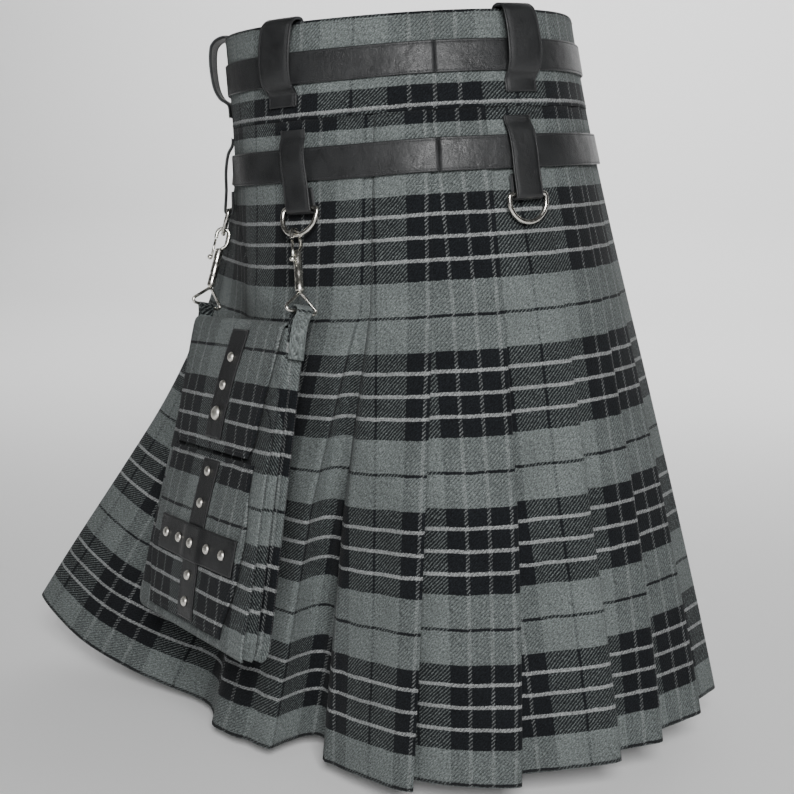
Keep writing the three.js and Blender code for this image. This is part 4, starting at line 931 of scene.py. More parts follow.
def tube(points, radius, closed, sides=16):
    """Vertices and faces of a round wire along a smooth line."""
    count = len(points)
    ahead = np.roll(points, -1, axis=0)
    behind = np.roll(points, 1, axis=0)
    if not closed:
        ahead[-1], behind[0] = points[-1], points[0]
    runs = unit(ahead - behind)
    normal = np.cross(runs[0], (0.3, 0.5, 0.8))
    verts, faces = [], []
    for i in range(count):
        normal = normal - runs[i] * np.dot(normal, runs[i])
        normal = normal / np.linalg.norm(normal)
        second = np.cross(runs[i], normal)
        for k in range(sides):
            turn = 2 * math.pi * k / sides
            verts.append(points[i] + radius * (math.cos(turn) * normal + math.sin(turn) * second))
    for i in range(count if closed else count - 1):
        j = (i + 1) % count
        shift = 0
        if closed and j == 0:
            first = [np.linalg.norm(verts[k] - verts[i * sides]) for k in range(sides)]
            shift = int(np.argmin(first))
        for k in range(sides):
            n = (k + 1) % sides
            near = (i * sides + k, i * sides + n)
            far = (j * sides + (n + shift) % sides, j * sides + (k + shift) % sides)
            faces.append(near + far)
    if not closed:
        faces.append(tuple(reversed(range(sides))))
        faces.append(tuple((count - 1) * sides + k for k in range(sides)))
    return verts, faces


def lathe(profile, axes, place, sides=32):
    """Vertices and faces of a turned piece about axes[1], from (radius, height) rows."""
    verts, faces = [], []
    for radius, height in profile:
        for k in range(sides):
            turn = 2 * math.pi * k / sides
            across = axes[0] * radius * math.cos(turn) + axes[2] * radius * math.sin(turn)
            verts.append(place + across + axes[1] * height)
    for r in range(len(profile) - 1):
        for k in range(sides):
            n = (k + 1) % sides
            faces.append((r * sides + k, (r + 1) * sides + k, (r + 1) * sides + n, r * sides + n))
    faces.append(tuple(range(sides)))
    faces.append(tuple((len(profile) - 1) * sides + k for k in reversed(range(sides))))
    return verts, faces


def metal_piece(name, parts, node, body="kilt", material=NICKEL):
    verts, faces = [], []
    for part_verts, part_faces in parts:
        base = len(verts)
        verts += [tuple(np.asarray(v) * MM) for v in part_verts]
        faces += [tuple(base + i for i in face) for face in part_faces]
    mesh = bpy.data.meshes.new(name)
    mesh.from_pydata(verts, [], faces)
    work = bmesh.new()
    work.from_mesh(mesh)
    bmesh.ops.recalc_face_normals(work, faces=work.faces)
    work.to_mesh(mesh)
    work.free()
    for polygon in mesh.polygons:
        polygon.use_smooth = len(polygon.vertices) == 4
    mesh.materials.append(material)
    piece = bpy.data.objects.new(name, mesh)
    bpy.context.scene.collection.objects.link(piece)
    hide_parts(node)
    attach(piece, body)


# A dome stud's outline as shares of its radius and height, from the rim to the crown
DOME = (
    (1.0, 0), (1.02, 0.1), (0.97, 0.35), (0.88, 0.56),
    (0.72, 0.78), (0.52, 0.9), (0.36, 0.96), (0.15, 0.995),
)


def dome(place, axes, radius, height):
    return lathe([(r * radius, h * height) for r, h in DOME], axes, place)


STUD = {"radius": 4.2, "height": 2.6, "large_radius": 6, "large_height": 3.6}
CLOSURE_TURN = TAB_END + 4.0
CLOSURE_LIFT = 0.2
for name, strap in STRAPS.items():
    middle = (strap["top"] + strap["bottom"]) / 2
    side, fall, out = form_frame(CLOSURE_TURN, middle)
    seat = on_form(CLOSURE_TURN, middle, strap["out"] + LEATHER + CLOSURE_LIFT)
    shape = dome(seat, (side, out, fall), STUD["large_radius"], STUD["large_height"])
    metal_piece(f"closure_dome_{name}", [shape], f"closure_stud_{name}", material=DOME_NICKEL)


# The belt loops and ring loops.
# Six pairs of black leather strips. The upper one bows out over the strap for a belt and is
# stitched along both edges; the lower one is folded round the bar of a D-ring.
LOOP_WIDTH = 28
LOOP_LEATHER = 2.4
RING_LOOP_LEATHER = 1.8
BAND_WALL = 2
RING = {
    "wire": 2, "half_width": 15.5, "drop": 22, "down": 150, "out": 6.4,
    "bow_start": 5, "bow_spread": 1.5, "free_tilt": -6, "hooked_tilt": 14,
}
LOOPS = [
    {"name": "front_left", "upper": 14, "lower": 15.5, "lean": 0, "ring": "hooked"},
    {"name": "side_left", "upper": 64, "lower": 71, "lean": 13, "ring": "hooked"},
    {"name": "back_left", "upper": 141.5, "lower": 138.5, "lean": -2, "ring": "free"},
    {"name": "front_right", "upper": -14, "lower": -15.5, "lean": 0, "ring": "free"},
    {"name": "side_right", "upper": -64, "lower": -67, "lean": -1, "ring": "free"},
    {"name": "back_right", "upper": -141.5, "lower": -139, "lean": 1, "ring": "free"},
]
# Both loops' lines are (millimetres down the cloth, millimetres out from it)
BELT_LOOP_LINE = [
    (20, -BAND_WALL - 2.1), (1.5, -BAND_WALL - 2.1), (-1.4, -3.5), (-2.4, -1.2), (-2, 4.4),
    (1, 10.2), (7, 14), (22, 15.6), (40, 14.2), (50, 10), (54.5, 4.4), (58, 2.1), (67, 1.8),
]


def ring_loop_line():
    bend = RING["wire"] + 0.6 + RING_LOOP_LEATHER / 2
    outer, inner = RING["out"] + bend, RING["out"] - bend
    line = [(86, 1.4), (92, 2.2), (100, 6.4), (115, 8.8), (132, outer - 1), (148, outer)]
    for turn in np.radians((25, 60, 90, 120, 155)):
        line.append((RING["down"] + bend * math.sin(turn), RING["out"] + bend * math.cos(turn)))
    return line + [(148, inner), (133, inner)]


RING_LOOP_LINE = ring_loop_line()
RING_LOOP_WIDTH = LOOP_WIDTH - 3
RING_LOOP_MIDDLE = 117
BELT_LOOP_MIDDLE = 30
LOOP_LEATHER_LOOK = black_leather("black_loop_leather", 0.46, 0.010)
# The loops' rims take a paler leather: partly the raw cut edge's own paler colour, partly a painted
# highlight where light catches the edge.
CUT_EDGE_TONE_AND_HIGHLIGHT = black_leather("pale_cut_edge_and_painted_highlight", 0.7, 0.03)


def on_form_place(azimuth, middle_down, lean):
    radius = float(np.linalg.norm(form_point(float(azimuth), middle_down)[:2]))

    def place(sideways, down, out):
        drift = (down - middle_down) * math.tan(math.radians(lean))
        return on_form(azimuth + np.degrees((sideways + drift) / radius), down, out)

    return place


def flat_place(azimuth, middle_down, lean):
    side = form_frame(azimuth, middle_down)[0]

    def place(sideways, down, out):
        drift = (down - middle_down) * math.tan(math.radians(lean))
        centre = on_form(np.full(np.shape(down), float(azimuth)), down, out)
        return centre + side * (sideways + drift)[..., None]

    return place


def beside_line(line, distance):
    ahead, behind = np.roll(line, -1, axis=0), np.roll(line, 1, axis=0)
    ahead[-1], behind[0] = line[-1], line[0]
    run = unit(ahead - behind)
    return np.stack([line[:, 0] - run[:, 1] * distance, line[:, 1] + run[:, 0] * distance], axis=1)


STRIP_HALF = (0.15, 0.3, 0.421, 0.436, 0.451, 0.466, 0.488, 0.5)
STRIP_PARTS = [-part for part in reversed(STRIP_HALF)] + [0] + list(STRIP_HALF)
STRIP_ROUNDING = {"reach": 0.034, "drop": 0.5}
STRIP_GROOVE = {"from_edge": 0.064, "half_width": 0.02}


def bent_strip(name, line, thickness, width, place, material):
    """A strip along a line of (down, out), its edges rounded over."""
    line = eased_path(line, 5)
    columns = []
    for part in STRIP_PARTS:
        from_edge = 0.5 - abs(part)
        groove = max(0.0, 1 - abs(from_edge - STRIP_GROOVE["from_edge"]) / STRIP_GROOVE["half_width"])
        rounding = max(0.0, 1 - from_edge / STRIP_ROUNDING["reach"]) ** 2
        drop = STRIP_ROUNDING["drop"] * rounding + STITCH_GROOVE["depth"] * groove
        offset = beside_line(line, thickness / 2 - drop)
        columns.append(place(np.full(len(offset), part * width), offset[:, 0], offset[:, 1]))
    points = np.stack(columns, axis=1)
    return shell_mesh(name, points, *plain_uv(points), thickness - 0.1, material, edge=CUT_EDGE_TONE_AND_HIGHLIGHT), line


def loop_stitches(name, line, thickness, width, place, first, last):
    offset = beside_line(line, thickness / 2 - STITCH_GROOVE["depth"] + 0.1)
    down, out = offset[:, 0], offset[:, 1]
    keep = np.arange(int(len(down) * first), int(len(down) * last))
    rows = []
    for sign in (-1, 1):
        sideways = np.full(len(keep), sign * (width / 2 - SEWN_FROM_EDGE))
        rows.append(place(sideways, down[keep], out[keep]))
    stitches(name, rows, spacing=3.2, length=2.4, radius=0.28)


def ring_frame(loop):
    azimuth = float(loop["lower"])
    _, fall, out = form_frame(azimuth, float(RING["down"]))
    place = flat_place(azimuth, RING_LOOP_MIDDLE, loop["lean"])
    centre = place(np.zeros(()), np.float64(RING["down"]), np.float64(RING["out"]))
    tilt = math.radians(RING["free_tilt"] if loop["ring"] == "free" else RING["hooked_tilt"])
    turned_fall = unit(fall * math.cos(tilt) + out * math.sin(tilt))
    turned_out = unit(out * math.cos(tilt) - fall * math.sin(tilt))
    return centre, form_frame(azimuth, float(RING_LOOP_MIDDLE))[0], turned_fall, turned_out


def leather_loop(name, line, thickness, width, place, sewn_from, sewn_to):
    strip, smooth_line = bent_strip(f"{name}_leather", line, thickness, width, place, LOOP_LEATHER_LOOK)
    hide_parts(name)
    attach(strip, "kilt")
    loop_stitches(f"{name}_stitching", smooth_line, thickness, width, place, sewn_from, sewn_to)


def ring_outline():
    """The D in its own plane: a straight bar, then a bow that hangs from it."""
    half, bow_start, bow_steps = RING["half_width"], RING["bow_start"], 9
    outline = [(-half, 0), (-half / 3, 0), (half / 3, 0), (half, 0)]
    for i in range(bow_steps + 1):
        turn = math.pi * i / bow_steps
        drop = bow_start + (RING["drop"] - bow_start) * math.sin(turn)
        outline.append(((half + RING["bow_spread"]) * math.cos(turn), drop))
    return outline


for loop in LOOPS:
    leather_loop(f"belt_loop_{loop['name']}", BELT_LOOP_LINE, LOOP_LEATHER, LOOP_WIDTH,
                 on_form_place(loop["upper"], float(BELT_LOOP_MIDDLE), 0), 0.3, 1.0)
    leather_loop(f"ring_loop_{loop['name']}", RING_LOOP_LINE, RING_LOOP_LEATHER, RING_LOOP_WIDTH,
                 flat_place(loop["lower"], RING_LOOP_MIDDLE, loop["lean"]), 0.0, 0.36)
    centre, side, fall, _ = ring_frame(loop)
    ring_line = np.array([centre + side * across + fall * down for across, down in ring_outline()])
    ring_body = "kilt" if loop["ring"] == "hooked" else f"d_ring_{loop['name']}"
    metal_piece(f"d_ring_{loop['name']}_wire", [tube(eased_path(ring_line, 5, True), RING["wire"], True)],
                f"ring_{loop['name']}", ring_body)


# The hanging pocket: its bag, flap and front patch.
# A flat bag of the same cloth with a bellows of two folds down each side, a flap from its back
# over the mouth, and a padded patch pocket on its face. Edges are topstitched.
POCKET = {"place": (124.8, -90.8, -252), "azimuth": 47.5, "lean": 12.8, "roll": -4}
BAG = {
    "top_width": 166, "bottom_width": 206, "height": 264, "top_depth": 18, "bottom_depth": 27,
    "fold": 13, "flat": 28, "bulge": 2,
}
FLAP = {"drop": 108, "top_width": 164, "bottom_width": 146}
PATCH = {
    "top": 112, "bottom": 253, "top_width": 152, "middle_width": 168, "bottom_width": 140, "puff": 4,
}
SHEET = 1.6


def pocket_axes():
    turn, lean, roll = (math.radians(POCKET[key]) for key in ("azimuth", "lean", "roll"))
    out = np.array([math.sin(turn) * math.cos(lean), -math.cos(turn) * math.cos(lean), math.sin(lean)])
    level = np.array([math.cos(turn), math.sin(turn), 0])
    plumb = unit(np.cross(level, out))
    side = level * math.cos(roll) + plumb * math.sin(roll)
    fall = plumb * math.cos(roll) - level * math.sin(roll)
    return side, fall, out


POCKET_SIDE, POCKET_FALL, POCKET_OUT = pocket_axes()


def on_pocket(across, down, out):
    across, down, out = (np.asarray(value, float)[..., None] for value in (across, down, out))
    return np.array(POCKET["place"]) + POCKET_SIDE * across + POCKET_FALL * down + POCKET_OUT * out


def lerp(a, b, t):
    return a + (b - a) * t


def step_between(x, low, high):
    t = min(1.0, max(0.0, (x - low) / (high - low)))
    return t * t * (3 - 2 * t)


def bag_half(down):
    return lerp(BAG["top_width"], BAG["bottom_width"], down / BAG["height"]) / 2


def bag_depth(down):
    return lerp(BAG["top_depth"], BAG["bottom_depth"], down / BAG["height"])


def bag_outline(down, corner_cut=0.0):
    half, depth = bag_half(down) - corner_cut, bag_depth(down)
    fold = BAG["fold"] * step_between(down, BAG["flat"], BAG["flat"] + 60)
    bulge = BAG["bulge"] * math.sin(math.pi * min(1.0, max(0.0, down / BAG["height"])))
    side = [
        (half - 2, 0), (half - 0.3, 0.4), (half, 2.2),
        (half - 0.5 * fold, depth * 0.17), (half - fold, depth * 0.27), (half - 0.45 * fold, depth * 0.4),
        (half - 0.5, depth * 0.5),
        (half - 0.45 * fold, depth * 0.6), (half - fold, depth * 0.73), (half - 0.5 * fold, depth * 0.83),
        (half, depth - 2.2), (half - 0.3, depth - 0.4), (half - 2, depth),
    ]
    front_parts = (0.85, 0.7, 0.5, 0.3, 0, -0.3, -0.5, -0.7, -0.85)
    front = [(half * part, depth + bulge * (1 - part * part)) for part in front_parts]
    back = [(half * part, 0) for part in (-0.85, -0.6, -0.3, 0, 0.3, 0.6, 0.85)]
    far_side = [(-x, out) for x, out in reversed(side)]
    return side + front + far_side + back


BAG_ROWS = [
    0, 1, 8, 18, 28, 40, 55, 72, 90, 110, 130, 150, 170, 190, 210, 228, 242,
    251, 257, 260.5, 262.8, 263.9,
]
BAG_CORNER = {"start": 250, "reach": 14, "cut": 5.0, "squeeze": 0.35}
BAG_WARP_START = 40
BAG_WEFT_START = 76
BAG_CLOTH = 1.3


def bag_row(down):
    """One level of the bag, rounded in at its bottom corners, and the warp along it."""
    into = max(0.0, (down - BAG_CORNER["start"]) / BAG_CORNER["reach"])
    cut = BAG_CORNER["cut"] * (1 - math.sqrt(max(0.0, 1 - into**2)))
    squeeze = 1 - BAG_CORNER["squeeze"] * (cut / BAG_CORNER["cut"])
    middle = bag_depth(down) / 2
    ring = [(x, middle + (out - middle) * squeeze) for x, out in bag_outline(down, cut)]
    ring.append(ring[0])
    xs, outs = np.array(ring).T
    sag = 1.2 * np.sin(xs / 23.0 + down / 31.0) * (1 if 30 < down < 240 else 0)
    outs = np.where(outs > bag_depth(down) * 0.9, outs + 0.4 * sag, outs)
    warp = np.concatenate([[0], np.cumsum(np.hypot(np.diff(xs), np.diff(outs)))]) + BAG_WARP_START
    return on_pocket(xs, np.full(len(xs), down), outs), warp


bag_points, bag_warp = (np.array(column)[:, ::-1] for column in zip(*map(bag_row, BAG_ROWS)))
bag_weft = np.array(BAG_ROWS) + BAG_WEFT_START
bag = shell_mesh("pocket_bag_cloth", bag_points, bag_warp, bag_weft, 0, CLOTH)
work = bmesh.new()
work.from_mesh(bag.data)
bmesh.ops.remove_doubles(work, verts=work.verts, dist=0.00002)
rim = [edge for edge in work.edges if edge.is_boundary]
lowest = []
for edge in rim:
    falls = [np.dot(np.array(v.co) / MM - np.array(POCKET["place"]), POCKET_FALL) for v in edge.verts]
    if min(falls) > BAG_CORNER["start"]:
        lowest.append(edge)
bmesh.ops.holes_fill(work, edges=lowest, sides=0)
bmesh.ops.recalc_face_normals(work, faces=work.faces)
work.to_mesh(bag.data)
work.free()
for polygon in bag.data.polygons:
    polygon.use_smooth = True
bag_skin = bag.modifiers.new("thickness", "SOLIDIFY")
bag_skin.thickness = BAG_CLOTH * MM
bag_skin.offset = -1
bake(bag)
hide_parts("pocket_bag")
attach(bag, "kilt")

# The flap runs from inside the bag's back, over the mouth and down its face: (down, out, puff)
FLAP_ROWS = [
    (16, -1.3, 0), (0, -1.3, 0), (-3, 0.4, 0), (-3.6, 6, 0), (-3.6, 13, 0), (-2.4, 18.6, 0),
    (3, 20.8, 0.3), (18, 22, 1), (45, 24.2, 2), (78, 26, 2), (100, 26.6, 1.2), (FLAP["drop"], 26.4, 0.6),
]
FLAP_FACE = FLAP_ROWS[6:]
FLAP_CORNER = 14


def flap_width(down):
    corner = FLAP_CORNER * step_between(down, FLAP["drop"] - FLAP_CORNER, FLAP["drop"])
    part = min(1.0, max(0.0, down / FLAP["drop"]))
    return lerp(FLAP["top_width"], FLAP["bottom_width"], part) - corner


def patch_width(down):
    t = (down - PATCH["top"]) / (PATCH["bottom"] - PATCH["top"])
    upper = lerp(PATCH["top_width"], PATCH["middle_width"], step_between(t, 0, 0.5))
    return lerp(upper, PATCH["bottom_width"], step_between(t, 0.6, 1))


def patch_rows():
    rows = []
    for t in (0, 0.04, 0.2, 0.4, 0.6, 0.8, 0.93, 1):
        down = lerp(PATCH["top"], PATCH["bottom"], t)
        tuck = 0.8 if t in (0, 1) else 0
        out = bag_depth(down) + BAG["bulge"] + 2 - tuck
        rows.append((down, out, PATCH["puff"] * math.sin(math.pi * t)))
    return rows


PATCH_ROWS = patch_rows()
FACE_HALF = [0.1, 0.2, 0.3, 0.38, 0.43, 0.46, 0.48, 0.495, 0.5]
FACE_PARTS = np.array([-part for part in reversed(FACE_HALF)] + [0] + FACE_HALF)
# Soft wrinkles across a face: each one's slant, rate and height
WRINKLES = ((0.35, 0.9, 1.1), (-0.3, 1.3, 0.8), (0.05, 2.1, 0.6))
WRINKLE_SHARE = 0.1
FACE_WARP_START = 96.2
FACE_ROUNDING = {"reach": 0.03, "drop": 0.6}


def face_out(rows, width_at, across, down):
    """How far out the face of a flap or patch lies at a place on it."""
    downs, outs, puffs = (np.array(column, float) for column in zip(*rows))
    across, down = np.asarray(across, float), np.asarray(down, float)
    widths = np.array([width_at(d) for d in np.atleast_1d(down).ravel()]).reshape(np.shape(down))
    part = np.clip(across / widths, -0.5, 0.5)
    base = np.interp(down, downs, outs) + np.interp(down, downs, puffs) * (1 - (2 * part) ** 4)
    return base + SHEET / 2


def flap_weft(smooth):
    """Millimetres along the flap, counted so that its face goes on with the bag's check."""
    steps = np.linalg.norm(np.diff(smooth[:, :2], axis=0), axis=1)
    length = np.concatenate([[0], np.cumsum(steps)])
    face_start = FLAP_FACE[0][0]
    behind_face = smooth[:, 1] < 19
    nearest = np.argmin(np.abs(smooth[:, 0] - face_start) + behind_face * 99)
    return length - length[nearest] + face_start + BAG_WEFT_START


def patch_weft(smooth):
    return smooth[:, 0] - 65.0


def puffed_sheet(name, rows, width_at, weft_at, node):
    """The flap or the patch: rows of (down, out, puff), rounded over at the sides."""
    smooth = eased_path(rows, 4)
    line = beside_line(smooth[:, :2], SHEET / 2)
    from_edge = 0.5 - np.abs(FACE_PARTS)
    drop = FACE_ROUNDING["drop"] * np.maximum(0, 1 - from_edge / FACE_ROUNDING["reach"]) ** 2
    points, warp = [], []
    for (down, out), (row_down, _, puff) in zip(line, smooth):
        width = width_at(row_down)
        swell = puff * (1 - (2 * FACE_PARTS) ** 4) - drop
        for slant, rate, height in WRINKLES:
            wave = np.sin(rate * row_down / 9 + slant * FACE_PARTS * 40)
            swell = swell + WRINKLE_SHARE * puff * height * wave
        points.append(on_pocket(FACE_PARTS * width, np.full(len(FACE_PARTS), down), out + swell))
        warp.append(FACE_PARTS * width + FACE_WARP_START)
    piece = shell_mesh(name, np.array(points), np.array(warp), weft_at(smooth), SHEET - 0.1, CLOTH)
    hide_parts(node)
    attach(piece, "kilt")


puffed_sheet("pocket_flap_cloth", FLAP_ROWS, flap_width, flap_weft, "pocket_flap")
puffed_sheet("pocket_patch_cloth", PATCH_ROWS, patch_width, patch_weft, "pocket_patch")

SEW_INSET = 4
flap_edge = np.linspace(6, FLAP["drop"] - 5, 40)
flap_hem = np.linspace(-0.5, 0.5, 40) * (flap_width(FLAP["drop"] - SEW_INSET) - 10)
flap_lines = [
    [(-0.5 * flap_width(d) + SEW_INSET, d) for d in flap_edge],
    [(0.5 * flap_width(d) - SEW_INSET, d) for d in flap_edge],
    [(x, FLAP["drop"] - SEW_INSET) for x in flap_hem],
]
patch_edge = np.linspace(PATCH["top"] + SEW_INSET, PATCH["bottom"] - 5, 50)
patch_lines = [
    [(-0.5 * patch_width(d) + SEW_INSET, d) for d in patch_edge],
    [(0.5 * patch_width(d) - SEW_INSET, d) for d in patch_edge],
    [(x, PATCH["bottom"] - SEW_INSET) for x in np.linspace(-62, 62, 40)],
    [(x, PATCH["top"] + SEW_INSET) for x in np.linspace(-70, 70, 40)],
]
for name, rows, width_at, lines in (("flap", FLAP_FACE, flap_width, flap_lines),
                                    ("patch", PATCH_ROWS, patch_width, patch_lines)):
    sewn = []
    for line in lines:
        across, down = np.array(line).T
        sewn.append(on_pocket(across, down, face_out(rows, width_at, across, down) + 0.2))
    stitches(f"pocket_{name}_stitching", sewn, spacing=3.0, length=2.3, radius=0.3)
side_rows = []
for sign in (-1, 1):
    for share in (0.06, 0.5, 0.94):
        downs = np.linspace(30, 255, 60)
        halves = np.array([bag_half(d) for d in downs]) - (0.3 if share == 0.5 else -0.1)
        depths = np.array([bag_depth(d) * share for d in downs])
        side_rows.append(on_pocket(sign * halves, downs, depths))
stitches("pocket_bellows_stitching", side_rows, spacing=2.2, length=1.6, radius=0.4)


# The leather strips and dome studs of the pocket.
# Plain black strips 28 to 30 mm wide are sewn on the flap and crossed on the patch, with small
# nickel dome studs along them and one larger one as the flap's fastening.
STRIP_WIDTH = 28
UPRIGHT_MIDDLE = 9
STRIP_LIFT = 0.5
STRIP_EDGE = 1.5
STRIP_SEWING_INSET = 1.7
STRIPS = [
    {"name": "flap_strip", "rows": FLAP_FACE, "width_at": flap_width, "from": 3, "to": 31,
     "top": 5, "bottom": 98, "drift": -10, "over": False},
    {"name": "cross_upright", "rows": PATCH_ROWS, "width_at": patch_width, "from": -5, "to": 23,
     "top": 116, "bottom": 250, "drift": 0, "over": False},
    {"name": "cross_bar", "rows": PATCH_ROWS, "width_at": patch_width, "from": -60, "to": 78,
     "top": 172, "bottom": 202, "drift": 0, "over": True},
]


def strip_rise(strip, across):
    """How far the bar of the cross rises where it crosses the upright."""
    if not strip["over"]:
        return np.zeros(np.shape(across))
    away = np.abs(np.asarray(across) - UPRIGHT_MIDDLE) - STRIP_WIDTH / 2
    return (LEATHER + SEAM) * np.clip((5 - away) / 4, 0, 1)


def on_strip(strip, across, down, lift):
    """Places on a strip's outer face, with lift added to its height."""
    part = (down - strip["top"]) / (strip["bottom"] - strip["top"])
    out = face_out(strip["rows"], strip["width_at"], across, down) + STRIP_LIFT + LEATHER
    return on_pocket(across + strip["drift"] * part, down, out + strip_rise(strip, across) + lift)


def edge_spread(start, end, count):
    """Even places from start to end, with closer ones where the edges are rounded."""
    closer = [start + 0.5, start + STRIP_EDGE, end - STRIP_EDGE, end - 0.5]
    return np.unique(np.concatenate([closer, np.linspace(start, end, count)]))


for strip in STRIPS:
    left, right, top, bottom = (strip[key] for key in ("from", "to", "top", "bottom"))
    across, down = np.meshgrid(edge_spread(left, right, 36), edge_spread(top, bottom, 40))
    edge = np.minimum(np.minimum(across - left, right - across), np.minimum(down - top, bottom - down))
    drop = 0.5 * np.maximum(0, 1 - edge / STRIP_EDGE) ** 2
    points = on_strip(strip, across, down, -drop)
    strip_piece = shell_mesh(f"leather_{strip['name']}_sewn", points, *plain_uv(points), LEATHER,
                             LOOP_LEATHER_LOOK)
    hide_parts(f"leather_{strip['name']}")
    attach(strip_piece, "kilt")
    left, right = left + STRIP_SEWING_INSET, right - STRIP_SEWING_INSET
    top, bottom = top + STRIP_SEWING_INSET, bottom - STRIP_SEWING_INSET
    corners = [(left, top), (right, top), (right, bottom), (left, bottom)]
    sewn = []
    for start, end in zip(corners, corners[1:] + corners[:1]):
        across, down = (np.linspace(start[i], end[i], 30) for i in (0, 1))
        sewn.append(on_strip(strip, across, down, 0.05))
    stitches(f"leather_{strip['name']}_stitching", sewn, spacing=3.2, length=2.4, radius=0.28)

STUD_LIFT = 0.3
STUD_ROWS = [
    {"name": "flap", "rows": FLAP_FACE, "width_at": flap_width, "places": [(14.5, 29), (12, 53)],
     "lift": 0},
    {"name": "upright_top", "rows": PATCH_ROWS, "width_at": patch_width, "places": [(9, 126), (9, 153)],
     "lift": 0},
    {"name": "bar", "rows": PATCH_ROWS, "width_at": patch_width,
     "places": [(-44, 187), (-18, 187), (9, 187), (36, 187), (62, 187)], "lift": LEATHER + SEAM},
    {"name": "upright_bottom", "rows": PATCH_ROWS, "width_at": patch_width,
     "places": [(9, 214), (9, 236)], "lift": 0},
    {"name": "flap_large", "rows": FLAP_FACE, "width_at": flap_width, "places": [(9.5, 77)], "lift": 0},
]
for row in STUD_ROWS:
    large = row["name"] == "flap_large"
    size = (STUD["large_radius"], STUD["large_height"]) if large else (STUD["radius"], STUD["height"])
    for i, (across, down) in enumerate(row["places"]):
        raised = row["lift"] if abs(across - UPRIGHT_MIDDLE) < STRIP_WIDTH / 2 else 0
        face = float(face_out(row["rows"], row["width_at"], across, down))
        seat = on_pocket(across, down, face + STRIP_LIFT + LEATHER + STUD_LIFT + raised)
        shape = dome(seat, (POCKET_SIDE, POCKET_OUT, POCKET_FALL), *size)
        metal_piece(f"dome_{row['name']}_{i + 1}", [shape], f"stud_{row['name']}_{i + 1}",
                    material=DOME_NICKEL)


# The two swivel hooks and the pocket's cloth loops.
# Each hook is a cast jaw and barrel with a sliding gate and a thumb knob, and below it a wire
# eye on a pin that turns. A doubled strip of the cloth runs from the pocket round the eye.
HOOK = {
    "wire": 1.7, "jaw_half": 5.6, "jaw_top": -4.8, "tip": 5.5,
    "shank": 15, "barrel": 3.6, "bore_depth": 7,
}
GATE = {"wire": 1.1, "top": 6.8, "knob": 2.4, "knob_down": 24}
EYE = {
    "wire": 1.4, "spread": 17, "height": 15, "pin": 1.2,
    "bend": 2.6, "bend_steps": 10, "top_rise": 0.43,
}
POCKET_LOOP = {"width": 13, "thickness": 1.6, "tail": 24, "rise": 14}
LOOP_BAR = SEAM + POCKET_LOOP["thickness"] + EYE["wire"] + 1.3
LOOP_PARTS = (-0.5, -0.47, -0.4, -0.2, 0, 0.2, 0.4, 0.47, 0.5)
LOOP_ROUNDING = {"reach": 0.06, "drop": 0.35}
LOOP_CUT = {"warp": (74, 87), "weft": (30, 118)}


def bent_corner(before, corner, after):
    """Points round one corner of the bent wire triangle."""
    before, corner, after = (np.array(point, float) for point in (before, corner, after))
    to_before, to_after = unit(before - corner), unit(after - corner)
    half_angle = math.acos(float(np.dot(to_before, to_after))) / 2
    centre = corner + unit(to_before + to_after) * EYE["bend"] / math.sin(half_angle)
    start = corner + to_before * EYE["bend"] / math.tan(half_angle) - centre
    end = corner + to_after * EYE["bend"] / math.tan(half_angle) - centre
    turn = math.pi - 2 * half_angle
    points = []
    for i in range(EYE["bend_steps"] + 1):
        t = i / EYE["bend_steps"]
        along = start * math.sin((1 - t) * turn) + end * math.sin(t * turn)
        points.append(centre + along / math.sin(turn))
    return points


def turned_points(points, axes, place):
    return [place + axes[0] * x + axes[1] * y + axes[2] * z for x, y, z in points]


def hook_jaw(axes, top):
    """The cast hook: from the barrel up one side, round the ring and down to its tip."""
    jaw, shank = HOOK["jaw_half"], HOOK["shank"]
    middle = HOOK["jaw_top"] + jaw
    line = [(0, shank + 1, 0), (-2.5, shank - 1.5, 0), (-jaw, shank - 6, 0)]
    for i in range(9):
        turn = math.pi * (1 - i / 8)
        line.append((jaw * math.cos(turn), middle - jaw * math.sin(turn), 0))
    line.append((jaw, HOOK["tip"], 0))
    return tube(eased_path(turned_points(line, axes, top), 5), HOOK["wire"], False)


def hook_barrel(axes, top, end):
    """The turned barrel, with two narrow grooves round it."""
    radius, shank = HOOK["barrel"], HOOK["shank"]
    profile = [(0.2, shank - 0.6), (radius - 1.2, shank - 0.4), (radius - 0.3, shank + 0.2),
               (radius, shank + 1.2)]
    for share in (0.3, 0.34, 0.38, 0.62, 0.66, 0.7):
        waist = 0.35 if share in (0.34, 0.66) else 0.0
        profile.append((radius - waist, shank + (end - shank) * share))
    profile += [(radius, end - 1.2), (radius - 0.4, end - 0.4), (radius - 1.1, end), (0.2, end)]
    return lathe(profile, axes, top, 24)


def hook_gate(axes, top):
    """The sliding gate's wire and its thumb knob."""
    jaw, knob = HOOK["jaw_half"], GATE["knob"]
    wire = [(jaw, GATE["top"], 0), (jaw, 14, 0), (jaw, GATE["knob_down"], 0)]
    centre = turned_points([(jaw + 1.2, GATE["knob_down"], 0)], axes, top)[0]
    profile = [(knob * math.cos(a) + 0.05, knob * math.sin(a)) for a in np.linspace(-1.45, 1.45, 12)]
    return [tube(np.array(turned_points(wire, axes, top)), GATE["wire"], False),
            lathe(profile, axes, centre, 20)]


def hook_eye(axes, top, length, barrel_end):
    """The bent wire triangle and the pin that turns in the barrel."""
    eye_top = barrel_end + 1.5
    spread = EYE["spread"]
    corners = [(0, eye_top - EYE["bend"] * EYE["top_rise"], 0), (0, length, spread), (0, length, -spread)]
    bent_line = []
    for i in range(3):
        bent_line += bent_corner(corners[i - 1], corners[i], corners[(i + 1) % 3])
    pin = [(0, barrel_end - HOOK["bore_depth"] + 0.6, 0), (0, eye_top + 0.2, 0)]
    return [tube(np.array(turned_points(bent_line, axes, top)), EYE["wire"], True),
            tube(np.array(turned_points(pin, axes, top)), EYE["pin"], False)]


